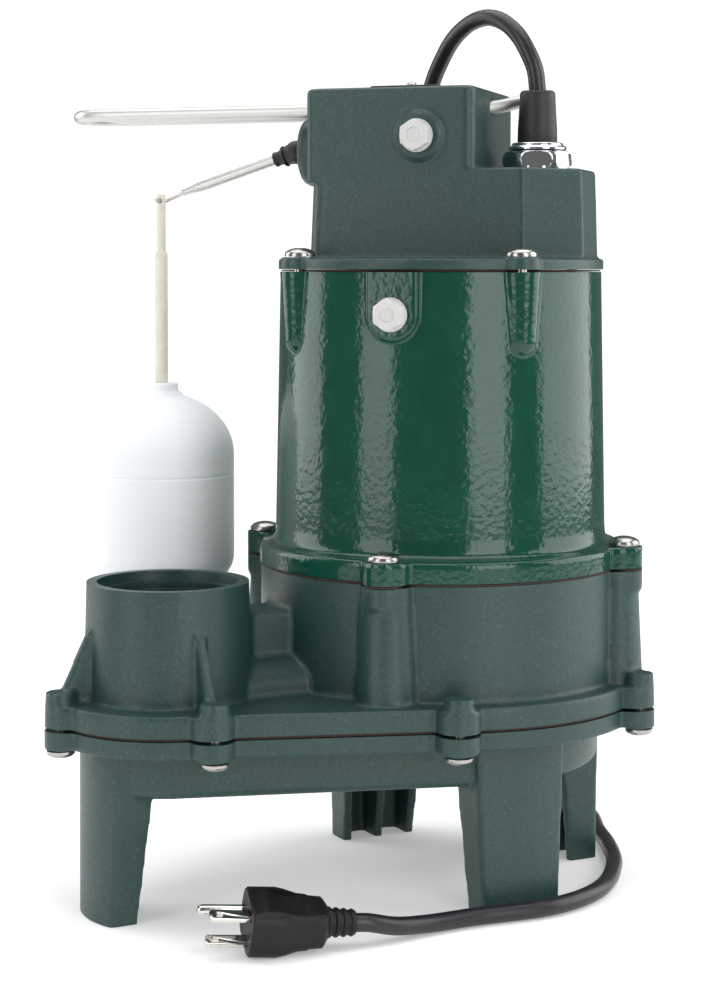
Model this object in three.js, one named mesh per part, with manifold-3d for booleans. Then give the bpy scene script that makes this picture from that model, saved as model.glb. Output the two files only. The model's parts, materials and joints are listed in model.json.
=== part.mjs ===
// Submersible sump pump with a vertical float switch, built as an assembly of separate parts.
// Millimetres, +Z up. The motor turns about Z, the discharge points to -X and the feet stand on z = 0.
import * as THREE from "three";
import { mergeVertices } from "three/addons/utils/BufferGeometryUtils.js";
import Module from "manifold-3d";

const wasm = await Module();
wasm.setup();

// ---------- driving dimensions ----------
const GAP = 0.3; // left between pieces that touch
const FIT = 0.4; // radial room of a shank, a rod or a stem in its hole

// Levels above the floor, each from the one below it.
const BOWL_BOTTOM = 55.5;
const BOWL_HEIGHT = 20.2;
const CASE_HEIGHT = 61.5;
const MOTOR_HEIGHT = 136.3;
const CAP_HEIGHT = 45.7;
const BLOCK_HEIGHT = 37;
const FLANGE_BOTTOM = BOWL_BOTTOM + BOWL_HEIGHT;
const BASE_PARTING = FLANGE_BOTTOM + 8.8;
const CASE_FLANGE_TOP = BASE_PARTING + 10.2;
const MOTOR_PARTING = BASE_PARTING + CASE_HEIGHT;
const MOTOR_FLANGE_TOP = MOTOR_PARTING + 10.2;
const CAP_PARTING = MOTOR_PARTING + MOTOR_HEIGHT;
const CAP_FLANGE_TOP = CAP_PARTING + 5.1;
const SHELF = CAP_PARTING + CAP_HEIGHT;
const BLOCK_TOP = SHELF + BLOCK_HEIGHT;
const SEAL_THICKNESS = 1;

// Motor.
const MOTOR_RADIUS = 76.8;
const MOTOR_TOP_RADIUS = MOTOR_RADIUS - 2.2;
const MOTOR_WALL = 5.6; // at the housing's top
const MOTOR_BORE = MOTOR_TOP_RADIUS - MOTOR_WALL;
const MOTOR_FLANGE_RADIUS = MOTOR_RADIUS + 7.5;
const LUG_CIRCLE = MOTOR_FLANGE_RADIUS + 3.3;
const LUG_RADIUS = 8.3;
const CAP_SCREW_CIRCLE = MOTOR_TOP_RADIUS - 2.1;
const SHAFT_RADIUS = 6.35;
const ROTOR_RADIUS = 32;
const AIR_GAP = 0.6;
const STACK_BOTTOM = MOTOR_PARTING + 42;
const STACK_TOP = CAP_PARTING - 36.3;
const MOTOR_PLUG_Z = CAP_PARTING - 19.3;

// Discharge hub.
const BORE_RADIUS = 28.3;
const HUB_WALL = 7.45;
const HUB_RADIUS = BORE_RADIUS + HUB_WALL;
const MOUTH_RADIUS = BORE_RADIUS + 2.7;
const HUB_FLANGE_RADIUS = HUB_RADIUS + 13.25;
const HUB_LEG_RADIUS = HUB_RADIUS + 3.25;
const HUB_TOP = CASE_FLANGE_TOP + 50.7;

// Base and pump case.
const CASE_RADIUS = MOTOR_FLANGE_RADIUS - 0.5; // flush under the motor flange
const CASE_WALL = 7;
const CASE_FLANGE_RADIUS = CASE_RADIUS + 8.7;
const VOLUTE_WALL = 17.8;
const VOLUTE_RADIUS = CASE_RADIUS - VOLUTE_WALL;
const HUB_REACH = 53.2; // from the case's wall to the discharge's axis
const HUB_X = -CASE_RADIUS - HUB_REACH;
const FLOOR_WALL = 5;
const INLET_RADIUS = 30;
const BOSS_RADIUS = 7;
const BOSS_OFFSET = 4.5; // from the flange's edge out to a boss's centre
const BOSS_TOP = CASE_FLANGE_TOP + 5.8;
const LEG_RADIUS = CASE_RADIUS - 5.8;
const LEG_WIDTH = 45;
const LEG_DEPTH = 26;
const LEG_WALL = 5;
const DUCT_HALF = BORE_RADIUS - 1.3;
const DUCT_TOP = CASE_FLANGE_TOP + 18.3;
const DUCT_WALL = 6;
const BRIDGE_HALF = 14;
const BRIDGE_TOP = CASE_FLANGE_TOP + 35.3;

// Cap and switch block, in the block's own frame: u to the right of its front face, v to the back.
const BLOCK_TURN = -45;
const BLOCK_HALF = CAP_SCREW_CIRCLE / 2 + 0.25;
const BLOCK_LEFT = -BLOCK_HALF - 18;
const CAP_LEFT = BLOCK_LEFT + 2.5;
const CAP_RIGHT = MOTOR_TOP_RADIUS - 4.6;
const CAP_CORNER = CAP_RIGHT - 22; // where the right end starts to narrow
const CAP_NOSE = 15;
const CAP_WALL = 4;
const SWITCH_BOSS_RADIUS = 16.5;
const SWITCH_BOSS_LENGTH = 11.8;
const BOSS_FACE = BLOCK_LEFT - SWITCH_BOSS_LENGTH;
const PIVOT_U = BOSS_FACE - 5.2;
const PIVOT_Z = SHELF + 10;
const GLAND_U = CAP_RIGHT - 24;
const GLAND_AF = 28.6;
const GLAND_STEM = 9;
const GLAND_ROOM = 4.19; // from a corner of the gland's nut to the block
const BLOCK_RIGHT = GLAND_U - GLAND_AF / Math.sqrt(3) - GLAND_ROOM;
const BLOCK_PLUG_Z = SHELF + 14.6;
const PLATE_U = -10;
const PLATE_V = -14;
const HANDLE_ROD = 6.1;
const HANDLE_SPREAD = 15;
const HANDLE_Z = BLOCK_TOP - 8.7;
const HANDLE_TIP = BLOCK_LEFT - 128.5;

// Float switch.
const ARM_DROP = 17.8; // degrees below level at rest
const HOOK_U = PIVOT_U - 70;
const HOOK_Z = PIVOT_Z - 22.5;
const ARM_RISE = 20.2; // degrees above level at the top stop
const ARM_TUBE = 4.8;
const ARM_WIRE = 1.8;
const ARM_TUBE_LENGTH = 63;
const FLOAT_RADIUS = 35.3;
const FLOAT_HEIGHT = 102;
const FLOAT_TOP = HOOK_Z - 92.5;
const FLOAT_BOTTOM = FLOAT_TOP - FLOAT_HEIGHT;
const FLOAT_NECK = 8;
const ROD_THIN = 2.2;
const ROD_THICK = 3.1;
const ROD_TOP = HOOK_Z + 3.3;
const ROD_STEP = HOOK_Z - 25.8;
const TAIL_LENGTH = 29;
const TAIL_RADIUS = 1.5;
const BUTTON_TRAVEL = 1.2;
const BUTTON_RADIUS = 1.8;
const BUTTON_STAND = 2.2;
const SWITCH_HALF = 6;

// Fasteners.
const SCREW_HEAD = 7;
const SCREW_SHANK = 2.6;
const HEX_PLUG_AF = 12.6;

// Cord and plug.
const CORD_RADIUS = 3.9;
const COIL_RADIUS = 43.5; // middle of the stored turns
const COIL_HALF_WIDTH = 3 * CORD_RADIUS;
const COIL_HEIGHT = 4 * CORD_RADIUS + 0.4;
const PLUG_LENGTH = 32;
const PLUG_RELIEF = 14;

// Facets of a round face, by its size.
const WIDE = 28;
const MIDDLE = 18;
const SMALL = 10;
const TINY = 8;

// ---------- helpers ----------
const DEG = Math.PI / 180;

function solidOf(geometry) {
  const bare = geometry.clone();
  bare.deleteAttribute("normal");
  bare.deleteAttribute("uv");
  const merged = mergeVertices(bare, 1e-3);
  const corners = merged.index.array;
  const kept = [];
  for (let i = 0; i < corners.length; i += 3) {
    const [a, b, c] = [corners[i], corners[i + 1], corners[i + 2]];
    if (a !== b && b !== c && c !== a) kept.push(a, b, c);
  }
  return new wasm.Manifold(
    new wasm.Mesh({
      numProp: 3,
      vertProperties: merged.attributes.position.array,
      triVerts: new Uint32Array(kept),
    }),
  );
}

function geometryOf(solid) {
  const mesh = solid.getMesh();
  const geometry = new THREE.BufferGeometry();
  geometry.setAttribute("position", new THREE.BufferAttribute(mesh.vertProperties, 3));
  geometry.setIndex(new THREE.BufferAttribute(mesh.triVerts, 1));
  geometry.computeVertexNormals();
  return geometry;
}

const joined = (...solids) => solids.reduce((all, one) => all.add(one));
const cut = (solid, ...tools) => tools.reduce((left, tool) => left.subtract(tool), solid);

function cylinder(radius, z0, z1, x = 0, y = 0, sides = MIDDLE, topRadius = radius) {
  const geometry = new THREE.CylinderGeometry(topRadius, radius, z1 - z0, sides);
  return solidOf(geometry.rotateX(90 * DEG).translate(x, y, (z0 + z1) / 2));
}

const ring = (outer, inner, z0, z1, sides = WIDE) =>
  cut(cylinder(outer, z0, z1, 0, 0, sides), cylinder(inner, z0 - 1, z1 + 1, 0, 0, sides));

// A bar with its axis along X.
function barX(radius, x0, x1, y, z, sides = MIDDLE, farRadius = radius) {
  const geometry = new THREE.CylinderGeometry(farRadius, radius, x1 - x0, sides);
  return solidOf(geometry.rotateZ(-90 * DEG).translate((x0 + x1) / 2, y, z));
}

// A bar with its axis along Y.
function barY(radius, y0, y1, x, z, sides = SMALL) {
  const geometry = new THREE.CylinderGeometry(radius, radius, y1 - y0, sides);
  return solidOf(geometry.translate(x, (y0 + y1) / 2, z));
}

function box(x0, x1, y0, y1, z0, z1) {
  const geometry = new THREE.BoxGeometry(x1 - x0, y1 - y0, z1 - z0);
  return solidOf(geometry.translate((x0 + x1) / 2, (y0 + y1) / 2, (z0 + z1) / 2));
}

function prism(shape, z0, z1, curveSegments = 3) {
  const geometry = new THREE.ExtrudeGeometry(shape, { depth: z1 - z0, bevelEnabled: false, curveSegments });
  return solidOf(geometry.translate(0, 0, z0));
}

// A prism whose top edge is rounded off, for moulded bodies.
function softPrism(shape, z0, z1, round, curveSegments = 3) {
  const geometry = new THREE.ExtrudeGeometry(shape, {
    depth: z1 - z0 - 2 * round,
    bevelThickness: round,
    bevelSize: round,
    bevelOffset: -round,
    bevelSegments: 2,
    curveSegments,
  });
  return solidOf(geometry.translate(0, 0, z0 + round));
}

// Points are [radius, z], from the lower end of the axis round to the upper one, or a closed ring.
function lathe(points, sides = MIDDLE) {
  const profile = points.map(([radius, z]) => new THREE.Vector2(radius, z));
  return solidOf(new THREE.LatheGeometry(profile, sides).rotateX(90 * DEG));
}

const closedLathe = (points, sides) => lathe([...points, points[0]], sides);

function roundedRectangle(x0, x1, y0, y1, radius) {
  const shape = new THREE.Shape();
  shape.absarc(x1 - radius, y0 + radius, radius, -90 * DEG, 0);
  shape.absarc(x1 - radius, y1 - radius, radius, 0, 90 * DEG);
  shape.absarc(x0 + radius, y1 - radius, radius, 90 * DEG, 180 * DEG);
  shape.absarc(x0 + radius, y0 + radius, radius, 180 * DEG, 270 * DEG);
  shape.closePath();
  return shape;
}

function tube(curve, radius, steps, sides = 8) {
  const section = new THREE.Shape();
  section.absarc(0, 0, radius, 0, 360 * DEG);
  const geometry = new THREE.ExtrudeGeometry(section, {
    steps,
    extrudePath: curve,
    curveSegments: sides / 2, // a full circle is drawn with twice this many
    bevelEnabled: false,
  });
  return solidOf(geometry);
}

function smoothCurve(points) {
  return new THREE.CatmullRomCurve3(points.map((p) => new THREE.Vector3(...p)), false, "centripetal");
}

function polar(radius, degrees, x = 0) {
  return [x + radius * Math.cos(degrees * DEG), radius * Math.sin(degrees * DEG)];
}

// ---------- finishes ----------
const finishes = {
  enamel: { color: 0x0f4a33, roughness: 0.25, metalness: 0.1 },
  casing: { color: 0x1f4a42, roughness: 0.6, metalness: 0 },
  rubber: { color: 0x17181a, roughness: 0.7, metalness: 0 },
  stainless: { color: 0xb9b9b5, roughness: 0.25, metalness: 1 },
  chrome: { color: 0xd8d8d8, roughness: 0.08, metalness: 1 },
  nylon: { color: 0xe9ece6, roughness: 0.45, metalness: 0 },
  float: { color: 0xeef0f2, roughness: 0.5, metalness: 0 },
  ivory: { color: 0xe4e0cd, roughness: 0.45, metalness: 0 },
  iron: { color: 0x5b5e60, roughness: 0.6, metalness: 0.8 },
  steel: { color: 0x9b9da0, roughness: 0.35, metalness: 1 },
  copper: { color: 0xb2612e, roughness: 0.4, metalness: 1 },
  brass: { color: 0xc9a85a, roughness: 0.3, metalness: 1 },
};

const pump = new THREE.Group();
const assembly = new THREE.Group();
pump.add(assembly);
const capGroup = new THREE.Group();
capGroup.rotation.z = BLOCK_TURN * DEG;
assembly.add(capGroup);

function addPart(group, name, solid, finish) {
  const mesh = new THREE.Mesh(geometryOf(solid), new THREE.MeshStandardMaterial(finishes[finish]));
  mesh.name = name;
  group.add(mesh);
  return mesh;
}

// ---------- flange outline and its fasteners ----------
// Two circles joined by their outer tangents: the case round the motor axis, the hub round the discharge.
function footprint(mainRadius, hubRadius) {
  const half = 180 - Math.acos((mainRadius - hubRadius) / -HUB_X) / DEG;
  const shape = new THREE.Shape();
  shape.absarc(0, 0, mainRadius, -half * DEG, half * DEG);
  shape.absarc(HUB_X, 0, hubRadius, half * DEG, (360 - half) * DEG);
  shape.closePath();
  return shape;
}

const MAIN_BOSS_CIRCLE = CASE_FLANGE_RADIUS + BOSS_OFFSET;
const HUB_BOSS_CIRCLE = HUB_FLANGE_RADIUS + 1;
const baseScrewPlaces = [
  ...[180, 90, 270].map((angle) => polar(HUB_BOSS_CIRCLE + (angle === 180 ? 0 : 2.5), angle, HUB_X)),
  ...[114, 50, 0, -50, -114].map((angle) => polar(MAIN_BOSS_CIRCLE, angle)),
];
const lugAngles = [45, 135, 225, 315];
const capScrewAngles = [0, 90, 180, 270];

const caseBottom = BASE_PARTING + SEAL_THICKNESS / 2 + GAP;
const baseTop = BASE_PARTING - SEAL_THICKNESS / 2 - GAP;
const bossBottom = FLANGE_BOTTOM - 0.5;
const shankHoles = (places, z0, z1) =>
  places.map(([x, y]) => cylinder(SCREW_SHANK + FIT, z0, z1, x, y, TINY));

// ---------- base: lower half of the volute, with its feet ----------
// Narrows a leg towards the floor: its width, and how far its ribs reach inwards.
function taperLeg(geometry, outerRadius) {
  const p = geometry.attributes.position;
  for (let i = 0; i < p.count; i += 1) {
    const low = 1 - p.getZ(i) / FLANGE_BOTTOM;
    p.setY(i, p.getY(i) * (1 - 0.14 * low));
    p.setX(i, outerRadius - (outerRadius - p.getX(i)) * (1 - 0.35 * low));
  }
  return solidOf(geometry);
}

// A leg that faces +X: a curved outer wall with three ribs behind it.
function leg(outerRadius) {
  const half = Math.asin(LEG_WIDTH / 2 / outerRadius);
  const legTop = FLANGE_BOTTOM + 2;
  const wall = new THREE.Shape();
  wall.absarc(0, 0, outerRadius, -half, half);
  wall.absarc(0, 0, outerRadius - LEG_WALL, half, -half, true);
  wall.closePath();
  const settings = { depth: legTop, bevelEnabled: false, curveSegments: 6 };
  const pieces = [taperLeg(new THREE.ExtrudeGeometry(wall, settings), outerRadius)];
  for (const side of [-1, 0, 1]) {
    const ribY = side * (LEG_WIDTH / 2 - LEG_WALL / 2);
    const ribOuter = Math.sqrt(outerRadius ** 2 - ribY ** 2) - LEG_WALL / 2;
    const ribInner = outerRadius - LEG_DEPTH;
    const rib = new THREE.BoxGeometry(ribOuter - ribInner, LEG_WALL, legTop);
    pieces.push(taperLeg(rib.translate((ribOuter + ribInner) / 2, ribY, legTop / 2), outerRadius));
  }
  return joined(...pieces);
}

function makeBase() {
  const flange = prism(footprint(CASE_FLANGE_RADIUS, HUB_FLANGE_RADIUS), FLANGE_BOTTOM, baseTop, WIDE / 4);
  const bowlOutline = footprint(LEG_RADIUS - 4, HUB_LEG_RADIUS - 4);
  const bowl = softPrism(bowlOutline, BOWL_BOTTOM, FLANGE_BOTTOM + 5, 4, WIDE / 4);
  const bosses = baseScrewPlaces.map(([x, y]) => cylinder(BOSS_RADIUS, bossBottom, baseTop, x, y, SMALL));
  const legs = [0, 90, 270].map((angle) => leg(LEG_RADIUS).rotate([0, 0, angle]));
  const hubLeg = leg(HUB_LEG_RADIUS).rotate([0, 0, 180]).translate([HUB_X, 0, 0]);
  const suctionLip = cylinder(INLET_RADIUS + 6, BOWL_BOTTOM - 4, BOWL_BOTTOM + 2);
  const body = joined(flange, bowl, ...bosses, ...legs, hubLeg, suctionLip);
  const voluteOutline = footprint(VOLUTE_RADIUS, BORE_RADIUS);
  const volute = prism(voluteOutline, BOWL_BOTTOM + FLOOR_WALL, baseTop + 1, WIDE / 5);
  const inlet = cylinder(INLET_RADIUS, BOWL_BOTTOM - 6, BOWL_BOTTOM + FLOOR_WALL + 1);
  return cut(body, volute, inlet, ...shankHoles(baseScrewPlaces, bossBottom - 1, baseTop + 1));
}
addPart(assembly, "base", makeBase(), "casing");

function makeBaseSeal() {
  const outline = footprint(CASE_FLANGE_RADIUS - 1.5, HUB_FLANGE_RADIUS - 1.5);
  const z0 = BASE_PARTING - SEAL_THICKNESS / 2;
  const z1 = BASE_PARTING + SEAL_THICKNESS / 2;
  const sheet = prism(outline, z0, z1, WIDE / 5);
  const opening = prism(footprint(VOLUTE_RADIUS + 3, BORE_RADIUS + 3), z0 - 1, z1 + 1, WIDE / 5);
  return cut(sheet, opening, ...shankHoles(baseScrewPlaces, z0 - 1, z1 + 1));
}
addPart(assembly, "base_seal", makeBaseSeal(), "rubber");

// ---------- pump case: upper half of the volute, discharge hub and the columns under the motor ----------
const caseTop = MOTOR_PARTING - GAP;
const plateSeat = MOTOR_PARTING - 16; // the seal plate rests here
const lugPlaces = lugAngles.map((angle) => polar(LUG_CIRCLE, angle));

function hubGusset(angle) {
  const shape = new THREE.Shape();
  shape.moveTo(HUB_RADIUS - 3, CASE_FLANGE_TOP - 1);
  shape.lineTo(HUB_BOSS_CIRCLE, CASE_FLANGE_TOP - 1);
  shape.lineTo(HUB_BOSS_CIRCLE, BOSS_TOP - 1);
  shape.lineTo(HUB_RADIUS, BOSS_TOP + 28);
  shape.lineTo(HUB_RADIUS - 3, BOSS_TOP + 28);
  shape.closePath();
  const geometry = new THREE.ExtrudeGeometry(shape, { depth: 5, bevelEnabled: false });
  return solidOf(geometry.translate(0, 0, -2.5).rotateX(90 * DEG))
    .rotate([0, 0, angle])
    .translate([HUB_X, 0, 0]);
}

// The passage from the volute to the hub, an arched tunnel along X.
function arch(halfWidth, top, bottom, x0, x1) {
  const shape = new THREE.Shape();
  const spring = top - halfWidth * 0.55;
  shape.moveTo(-halfWidth, bottom);
  shape.lineTo(halfWidth, bottom);
  shape.lineTo(halfWidth, spring);
  shape.absellipse(0, spring, halfWidth, halfWidth * 0.55, 0, 180 * DEG);
  shape.closePath();
  const settings = { depth: x1 - x0, bevelEnabled: false, curveSegments: 5 };
  const geometry = new THREE.ExtrudeGeometry(shape, settings);
  return solidOf(geometry.rotateX(90 * DEG).rotateZ(90 * DEG).translate(x0, 0, 0));
}

function makeCase() {
  const flangeOutline = footprint(CASE_FLANGE_RADIUS, HUB_FLANGE_RADIUS);
  const flange = prism(flangeOutline, caseBottom, CASE_FLANGE_TOP, WIDE / 4);
  const wall = cylinder(CASE_RADIUS + 0.6, caseBottom, caseTop, 0, 0, WIDE, CASE_RADIUS);
  const columns = lugAngles.map((angle) => {
    const [x, y] = polar(LUG_CIRCLE - 5, angle);
    return cylinder(13.2, CASE_FLANGE_TOP - 1, caseTop - 4, x, y, SMALL, 12);
  });
  const lugs = lugPlaces.map(([x, y]) => cylinder(LUG_RADIUS, caseTop - 8, caseTop, x, y, SMALL));
  const bosses = baseScrewPlaces.map(([x, y]) =>
    cylinder(BOSS_RADIUS, caseBottom, BOSS_TOP, x, y, SMALL, BOSS_RADIUS - 0.7),
  );
  const hub = cylinder(HUB_RADIUS + 1.8, caseBottom, HUB_TOP, HUB_X, 0, WIDE, HUB_RADIUS);
  const duct = arch(DUCT_HALF, DUCT_TOP, CASE_FLANGE_TOP - 1, HUB_X + 10, -CASE_RADIUS + 12);
  const bridge = box(
    HUB_X + 20,
    -CASE_RADIUS + 8,
    -BRIDGE_HALF,
    BRIDGE_HALF,
    CASE_FLANGE_TOP,
    BRIDGE_TOP,
  );
  const gussets = [90, 180, 270].map(hubGusset);
  const body = joined(flange, wall, ...columns, ...lugs, ...bosses, hub, duct, bridge, ...gussets);
  const tools = [
    cylinder(VOLUTE_RADIUS, caseBottom - 1, plateSeat + 1, 0, 0, WIDE),
    cylinder(CASE_RADIUS - CASE_WALL, plateSeat, caseTop + 1, 0, 0, WIDE),
    arch(DUCT_HALF - DUCT_WALL, DUCT_TOP - DUCT_WALL, caseBottom - 1, HUB_X, -VOLUTE_RADIUS + 12),
    cylinder(BORE_RADIUS, caseBottom - 1, HUB_TOP + 1, HUB_X, 0, WIDE),
    cylinder(BORE_RADIUS, HUB_TOP - 3, HUB_TOP + 0.1, HUB_X, 0, WIDE, MOUTH_RADIUS),
    ...shankHoles(baseScrewPlaces, caseBottom - 1, BOSS_TOP - 3),
    ...shankHoles(lugPlaces, caseTop - 22, caseTop + 1),
  ];
  return cut(body, ...tools);
}
addPart(assembly, "pump_case", makeCase(), "casing");

// ---------- motor housing with its lugs, screw bosses and plug pad ----------
const gasketBottom = MOTOR_PARTING;
const gasketTop = gasketBottom + 0.7;
const housingBottom = gasketTop + GAP;
const housingTop = CAP_PARTING - 0.9;
const capSealBottom = housingTop + GAP;
const capSealTop = capSealBottom + 0.6;
const capBottom = capSealTop + GAP;
const capScrewPlaces = capScrewAngles.map((angle) => polar(CAP_SCREW_CIRCLE, angle));
const PLUG_STEM = 4;
const PAD_HALF = 11.7;
const PAD_BEARING = 225;
const plugPadFace = MOTOR_TOP_RADIUS + 3.4;

function makeGasket() {
  const sheet = joined(
    ring(MOTOR_FLANGE_RADIUS - 1, CASE_RADIUS - CASE_WALL + 3, gasketBottom, gasketTop),
    ...lugAngles.map((angle) => {
      const [x, y] = polar(LUG_CIRCLE - 2, angle);
      return cylinder(LUG_RADIUS - 1, gasketBottom, gasketTop, x, y, SMALL);
    }),
  );
  const opening = cylinder(CASE_RADIUS - CASE_WALL + 3, gasketBottom - 1, gasketTop + 1, 0, 0, WIDE);
  return cut(sheet, opening, ...shankHoles(lugPlaces, gasketBottom - 1, gasketTop + 1));
}
addPart(assembly, "motor_gasket", makeGasket(), "rubber");

function makeHousing() {
  const shell = closedLathe(
    [
      [MOTOR_BORE, housingBottom],
      [MOTOR_FLANGE_RADIUS, housingBottom],
      [MOTOR_FLANGE_RADIUS, MOTOR_FLANGE_TOP - 1.6],
      [MOTOR_FLANGE_RADIUS - 1.6, MOTOR_FLANGE_TOP],
      [MOTOR_RADIUS + 3, MOTOR_FLANGE_TOP + 0.8],
      [MOTOR_RADIUS + 0.8, MOTOR_FLANGE_TOP + 3.2],
      [MOTOR_RADIUS, MOTOR_FLANGE_TOP + 8],
      [MOTOR_TOP_RADIUS, housingTop - 0.8],
      [MOTOR_TOP_RADIUS - 0.8, housingTop],
      [MOTOR_BORE, housingTop],
    ],
    WIDE,
  );
  const lugTop = MOTOR_FLANGE_TOP + 0.6;
  const lugs = lugPlaces.map(([x, y]) => cylinder(LUG_RADIUS, housingBottom, lugTop, x, y, SMALL));
  const bosses = capScrewPlaces.map(([x, y]) => cylinder(6, housingTop - 30, housingTop, x, y, SMALL, 9));
  const pad = joined(
    barX(PAD_HALF, MOTOR_BORE + 1, plugPadFace, 0, MOTOR_PLUG_Z),
    box(MOTOR_BORE + 1, plugPadFace, -PAD_HALF, PAD_HALF, MOTOR_PLUG_Z, housingTop),
  ).rotate([0, 0, PAD_BEARING]);
  const core = cylinder(MOTOR_BORE, housingBottom - 1, housingTop + 1, 0, 0, WIDE);
  const plugBore = barX(PLUG_STEM + FIT, MOTOR_BORE - 3, plugPadFace + 1, 0, MOTOR_PLUG_Z, SMALL);
  const plugHole = plugBore.rotate([0, 0, PAD_BEARING]);
  const body = joined(shell, cut(joined(...lugs, ...bosses, pad), core));
  return cut(
    body,
    plugHole,
    ...shankHoles(lugPlaces, housingBottom - 1, MOTOR_FLANGE_TOP + 2),
    ...shankHoles(capScrewPlaces, housingTop - 18, housingTop + 1),
  );
}
addPart(assembly, "motor_housing", makeHousing(), "enamel");

function makeCapSeal() {
  const sheet = ring(MOTOR_TOP_RADIUS - 0.6, MOTOR_BORE - 1, capSealBottom, capSealTop);
  return cut(sheet, ...shankHoles(capScrewPlaces, capSealBottom - 1, capSealTop + 1));
}
addPart(assembly, "cap_seal", makeCapSeal(), "rubber");

// ---------- top cap with the switch block ----------
const capShankPlaces = capScrewAngles.map((angle) => polar(CAP_SCREW_CIRCLE, angle - BLOCK_TURN));
const capLugTop = CAP_FLANGE_TOP + 0.6;

// The lever's inner end presses the microswitch's button as the float arm reaches its top stop.
const tailLowZ = PIVOT_Z - TAIL_LENGTH * Math.sin(ARM_RISE * DEG) - TAIL_RADIUS / Math.cos(ARM_RISE * DEG);
const tailEndU = PIVOT_U + TAIL_LENGTH * Math.cos(ARM_RISE * DEG);
const buttonTop = tailLowZ - 0.2 + BUTTON_TRAVEL;
const buttonU = tailEndU + 1;
const switchTop = buttonTop - BUTTON_STAND;

function capOutline(inset) {
  const left = CAP_LEFT + inset;
  const right = CAP_RIGHT - inset;
  const half = BLOCK_HALF - inset;
  const corner = CAP_CORNER - inset * 0.5;
  const nose = CAP_NOSE - inset * 0.3;
  const radius = 8 - inset;
  const shape = new THREE.Shape();
  shape.absarc(left + radius, half - radius, radius, 90 * DEG, 180 * DEG);
  shape.absarc(left + radius, -half + radius, radius, 180 * DEG, 270 * DEG);
  shape.lineTo(corner, -half);
  shape.lineTo(right, -nose);
  shape.lineTo(right, nose);
  shape.lineTo(corner, half);
  shape.closePath();
  return shape;
}

// The carrying handle: a loop of rod through the block, its two legs level and side by side.
function handleCurve() {
  const bendCentre = HANDLE_TIP + HANDLE_SPREAD;
  const points = [
    [BLOCK_RIGHT + 15.7, 14, HANDLE_Z + 5.2],
    [BLOCK_RIGHT + 8.7, 6.5, HANDLE_Z + 3.2],
    [BLOCK_RIGHT + 1.7, -1, HANDLE_Z + 1],
    [BLOCK_RIGHT - 8.3, -8.5, HANDLE_Z],
    [BLOCK_RIGHT - 21.3, -14, HANDLE_Z],
    [-14, -HANDLE_SPREAD, HANDLE_Z],
  ];
  const legs = [BLOCK_LEFT - 5.5, BLOCK_LEFT - 55.5];
  for (const u of legs) points.push([u, -HANDLE_SPREAD, HANDLE_Z]);
  for (let angle = 270; angle >= 90; angle -= 22.5) {
    const [u, v] = polar(HANDLE_SPREAD, angle, bendCentre);
    points.push([u, v, HANDLE_Z]);
  }
  for (const u of [...legs.reverse(), 0, 15]) points.push([u, HANDLE_SPREAD, HANDLE_Z]);
  return smoothCurve(points);
}
const HANDLE_STEPS = 56;

function makeCap() {
  const rim = MOTOR_TOP_RADIUS + 0.9;
  const flange = cylinder(rim, capBottom, CAP_FLANGE_TOP, 0, 0, WIDE, rim - 0.5);
  const lugs = capShankPlaces.map(([x, y]) => cylinder(9, capBottom, capLugTop, x, y, SMALL, 8.4));
  const lower = softPrism(capOutline(0), CAP_FLANGE_TOP - 3, SHELF, 1.5);
  const blockShape = roundedRectangle(BLOCK_LEFT, BLOCK_RIGHT, -BLOCK_HALF, BLOCK_HALF, 4);
  const block = softPrism(blockShape, SHELF - 3, BLOCK_TOP, 1.5);
  const switchBoss = barX(SWITCH_BOSS_RADIUS, BOSS_FACE, BLOCK_LEFT + 6, 0, PIVOT_Z);
  const plugBoss = barY(10, -BLOCK_HALF - 2.5, -BLOCK_HALF + 6, 0, BLOCK_PLUG_Z, MIDDLE);
  const body = joined(flange, ...lugs, lower, block, switchBoss, plugBoss);
  const lowerRoom = prism(capOutline(CAP_WALL), capBottom - 1, SHELF - CAP_WALL);
  const blockRoom = box(
    BLOCK_LEFT + CAP_WALL,
    BLOCK_RIGHT - CAP_WALL,
    -BLOCK_HALF + CAP_WALL,
    BLOCK_HALF - CAP_WALL,
    SHELF - CAP_WALL - 1,
    BLOCK_TOP - CAP_WALL,
  );
  const roomRadius = SWITCH_BOSS_RADIUS - 5.5;
  const bossRoom = barX(roomRadius, BOSS_FACE + 3.5, BLOCK_LEFT + CAP_WALL + 1, 0, PIVOT_Z, SMALL);
  const leverHole = barX(5.4, BOSS_FACE - 1, BOSS_FACE + 4, 0, PIVOT_Z, SMALL);
  const plugHole = barY(PLUG_STEM + FIT, -BLOCK_HALF - 4, -BLOCK_HALF + CAP_WALL + 1, 0, BLOCK_PLUG_Z);
  const glandHole = cylinder(GLAND_STEM + FIT, SHELF - CAP_WALL - 2, SHELF + 1, GLAND_U, 0, SMALL);
  const rodPassage = tube(handleCurve(), HANDLE_ROD / 2 + FIT, HANDLE_STEPS);
  const plateScrewHole = cylinder(1.4, BLOCK_TOP - CAP_WALL - 1, BLOCK_TOP + 1, PLATE_U, PLATE_V, TINY);
  const rooms = cut(body, lowerRoom, blockRoom);
  const ribFront = SWITCH_HALF + GAP;
  const switchRib = box(buttonU - 2, buttonU + 22, ribFront, ribFront + 3, switchTop - 13, BLOCK_TOP - 2);
  return cut(
    joined(rooms, switchRib),
    bossRoom,
    leverHole,
    plugHole,
    glandHole,
    rodPassage,
    plateScrewHole,
    ...shankHoles(capShankPlaces, capBottom - 1, capLugTop + 1),
  );
}
addPart(capGroup, "top_cap", makeCap(), "casing");
addPart(capGroup, "handle", tube(handleCurve(), HANDLE_ROD / 2, HANDLE_STEPS), "stainless");

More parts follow.
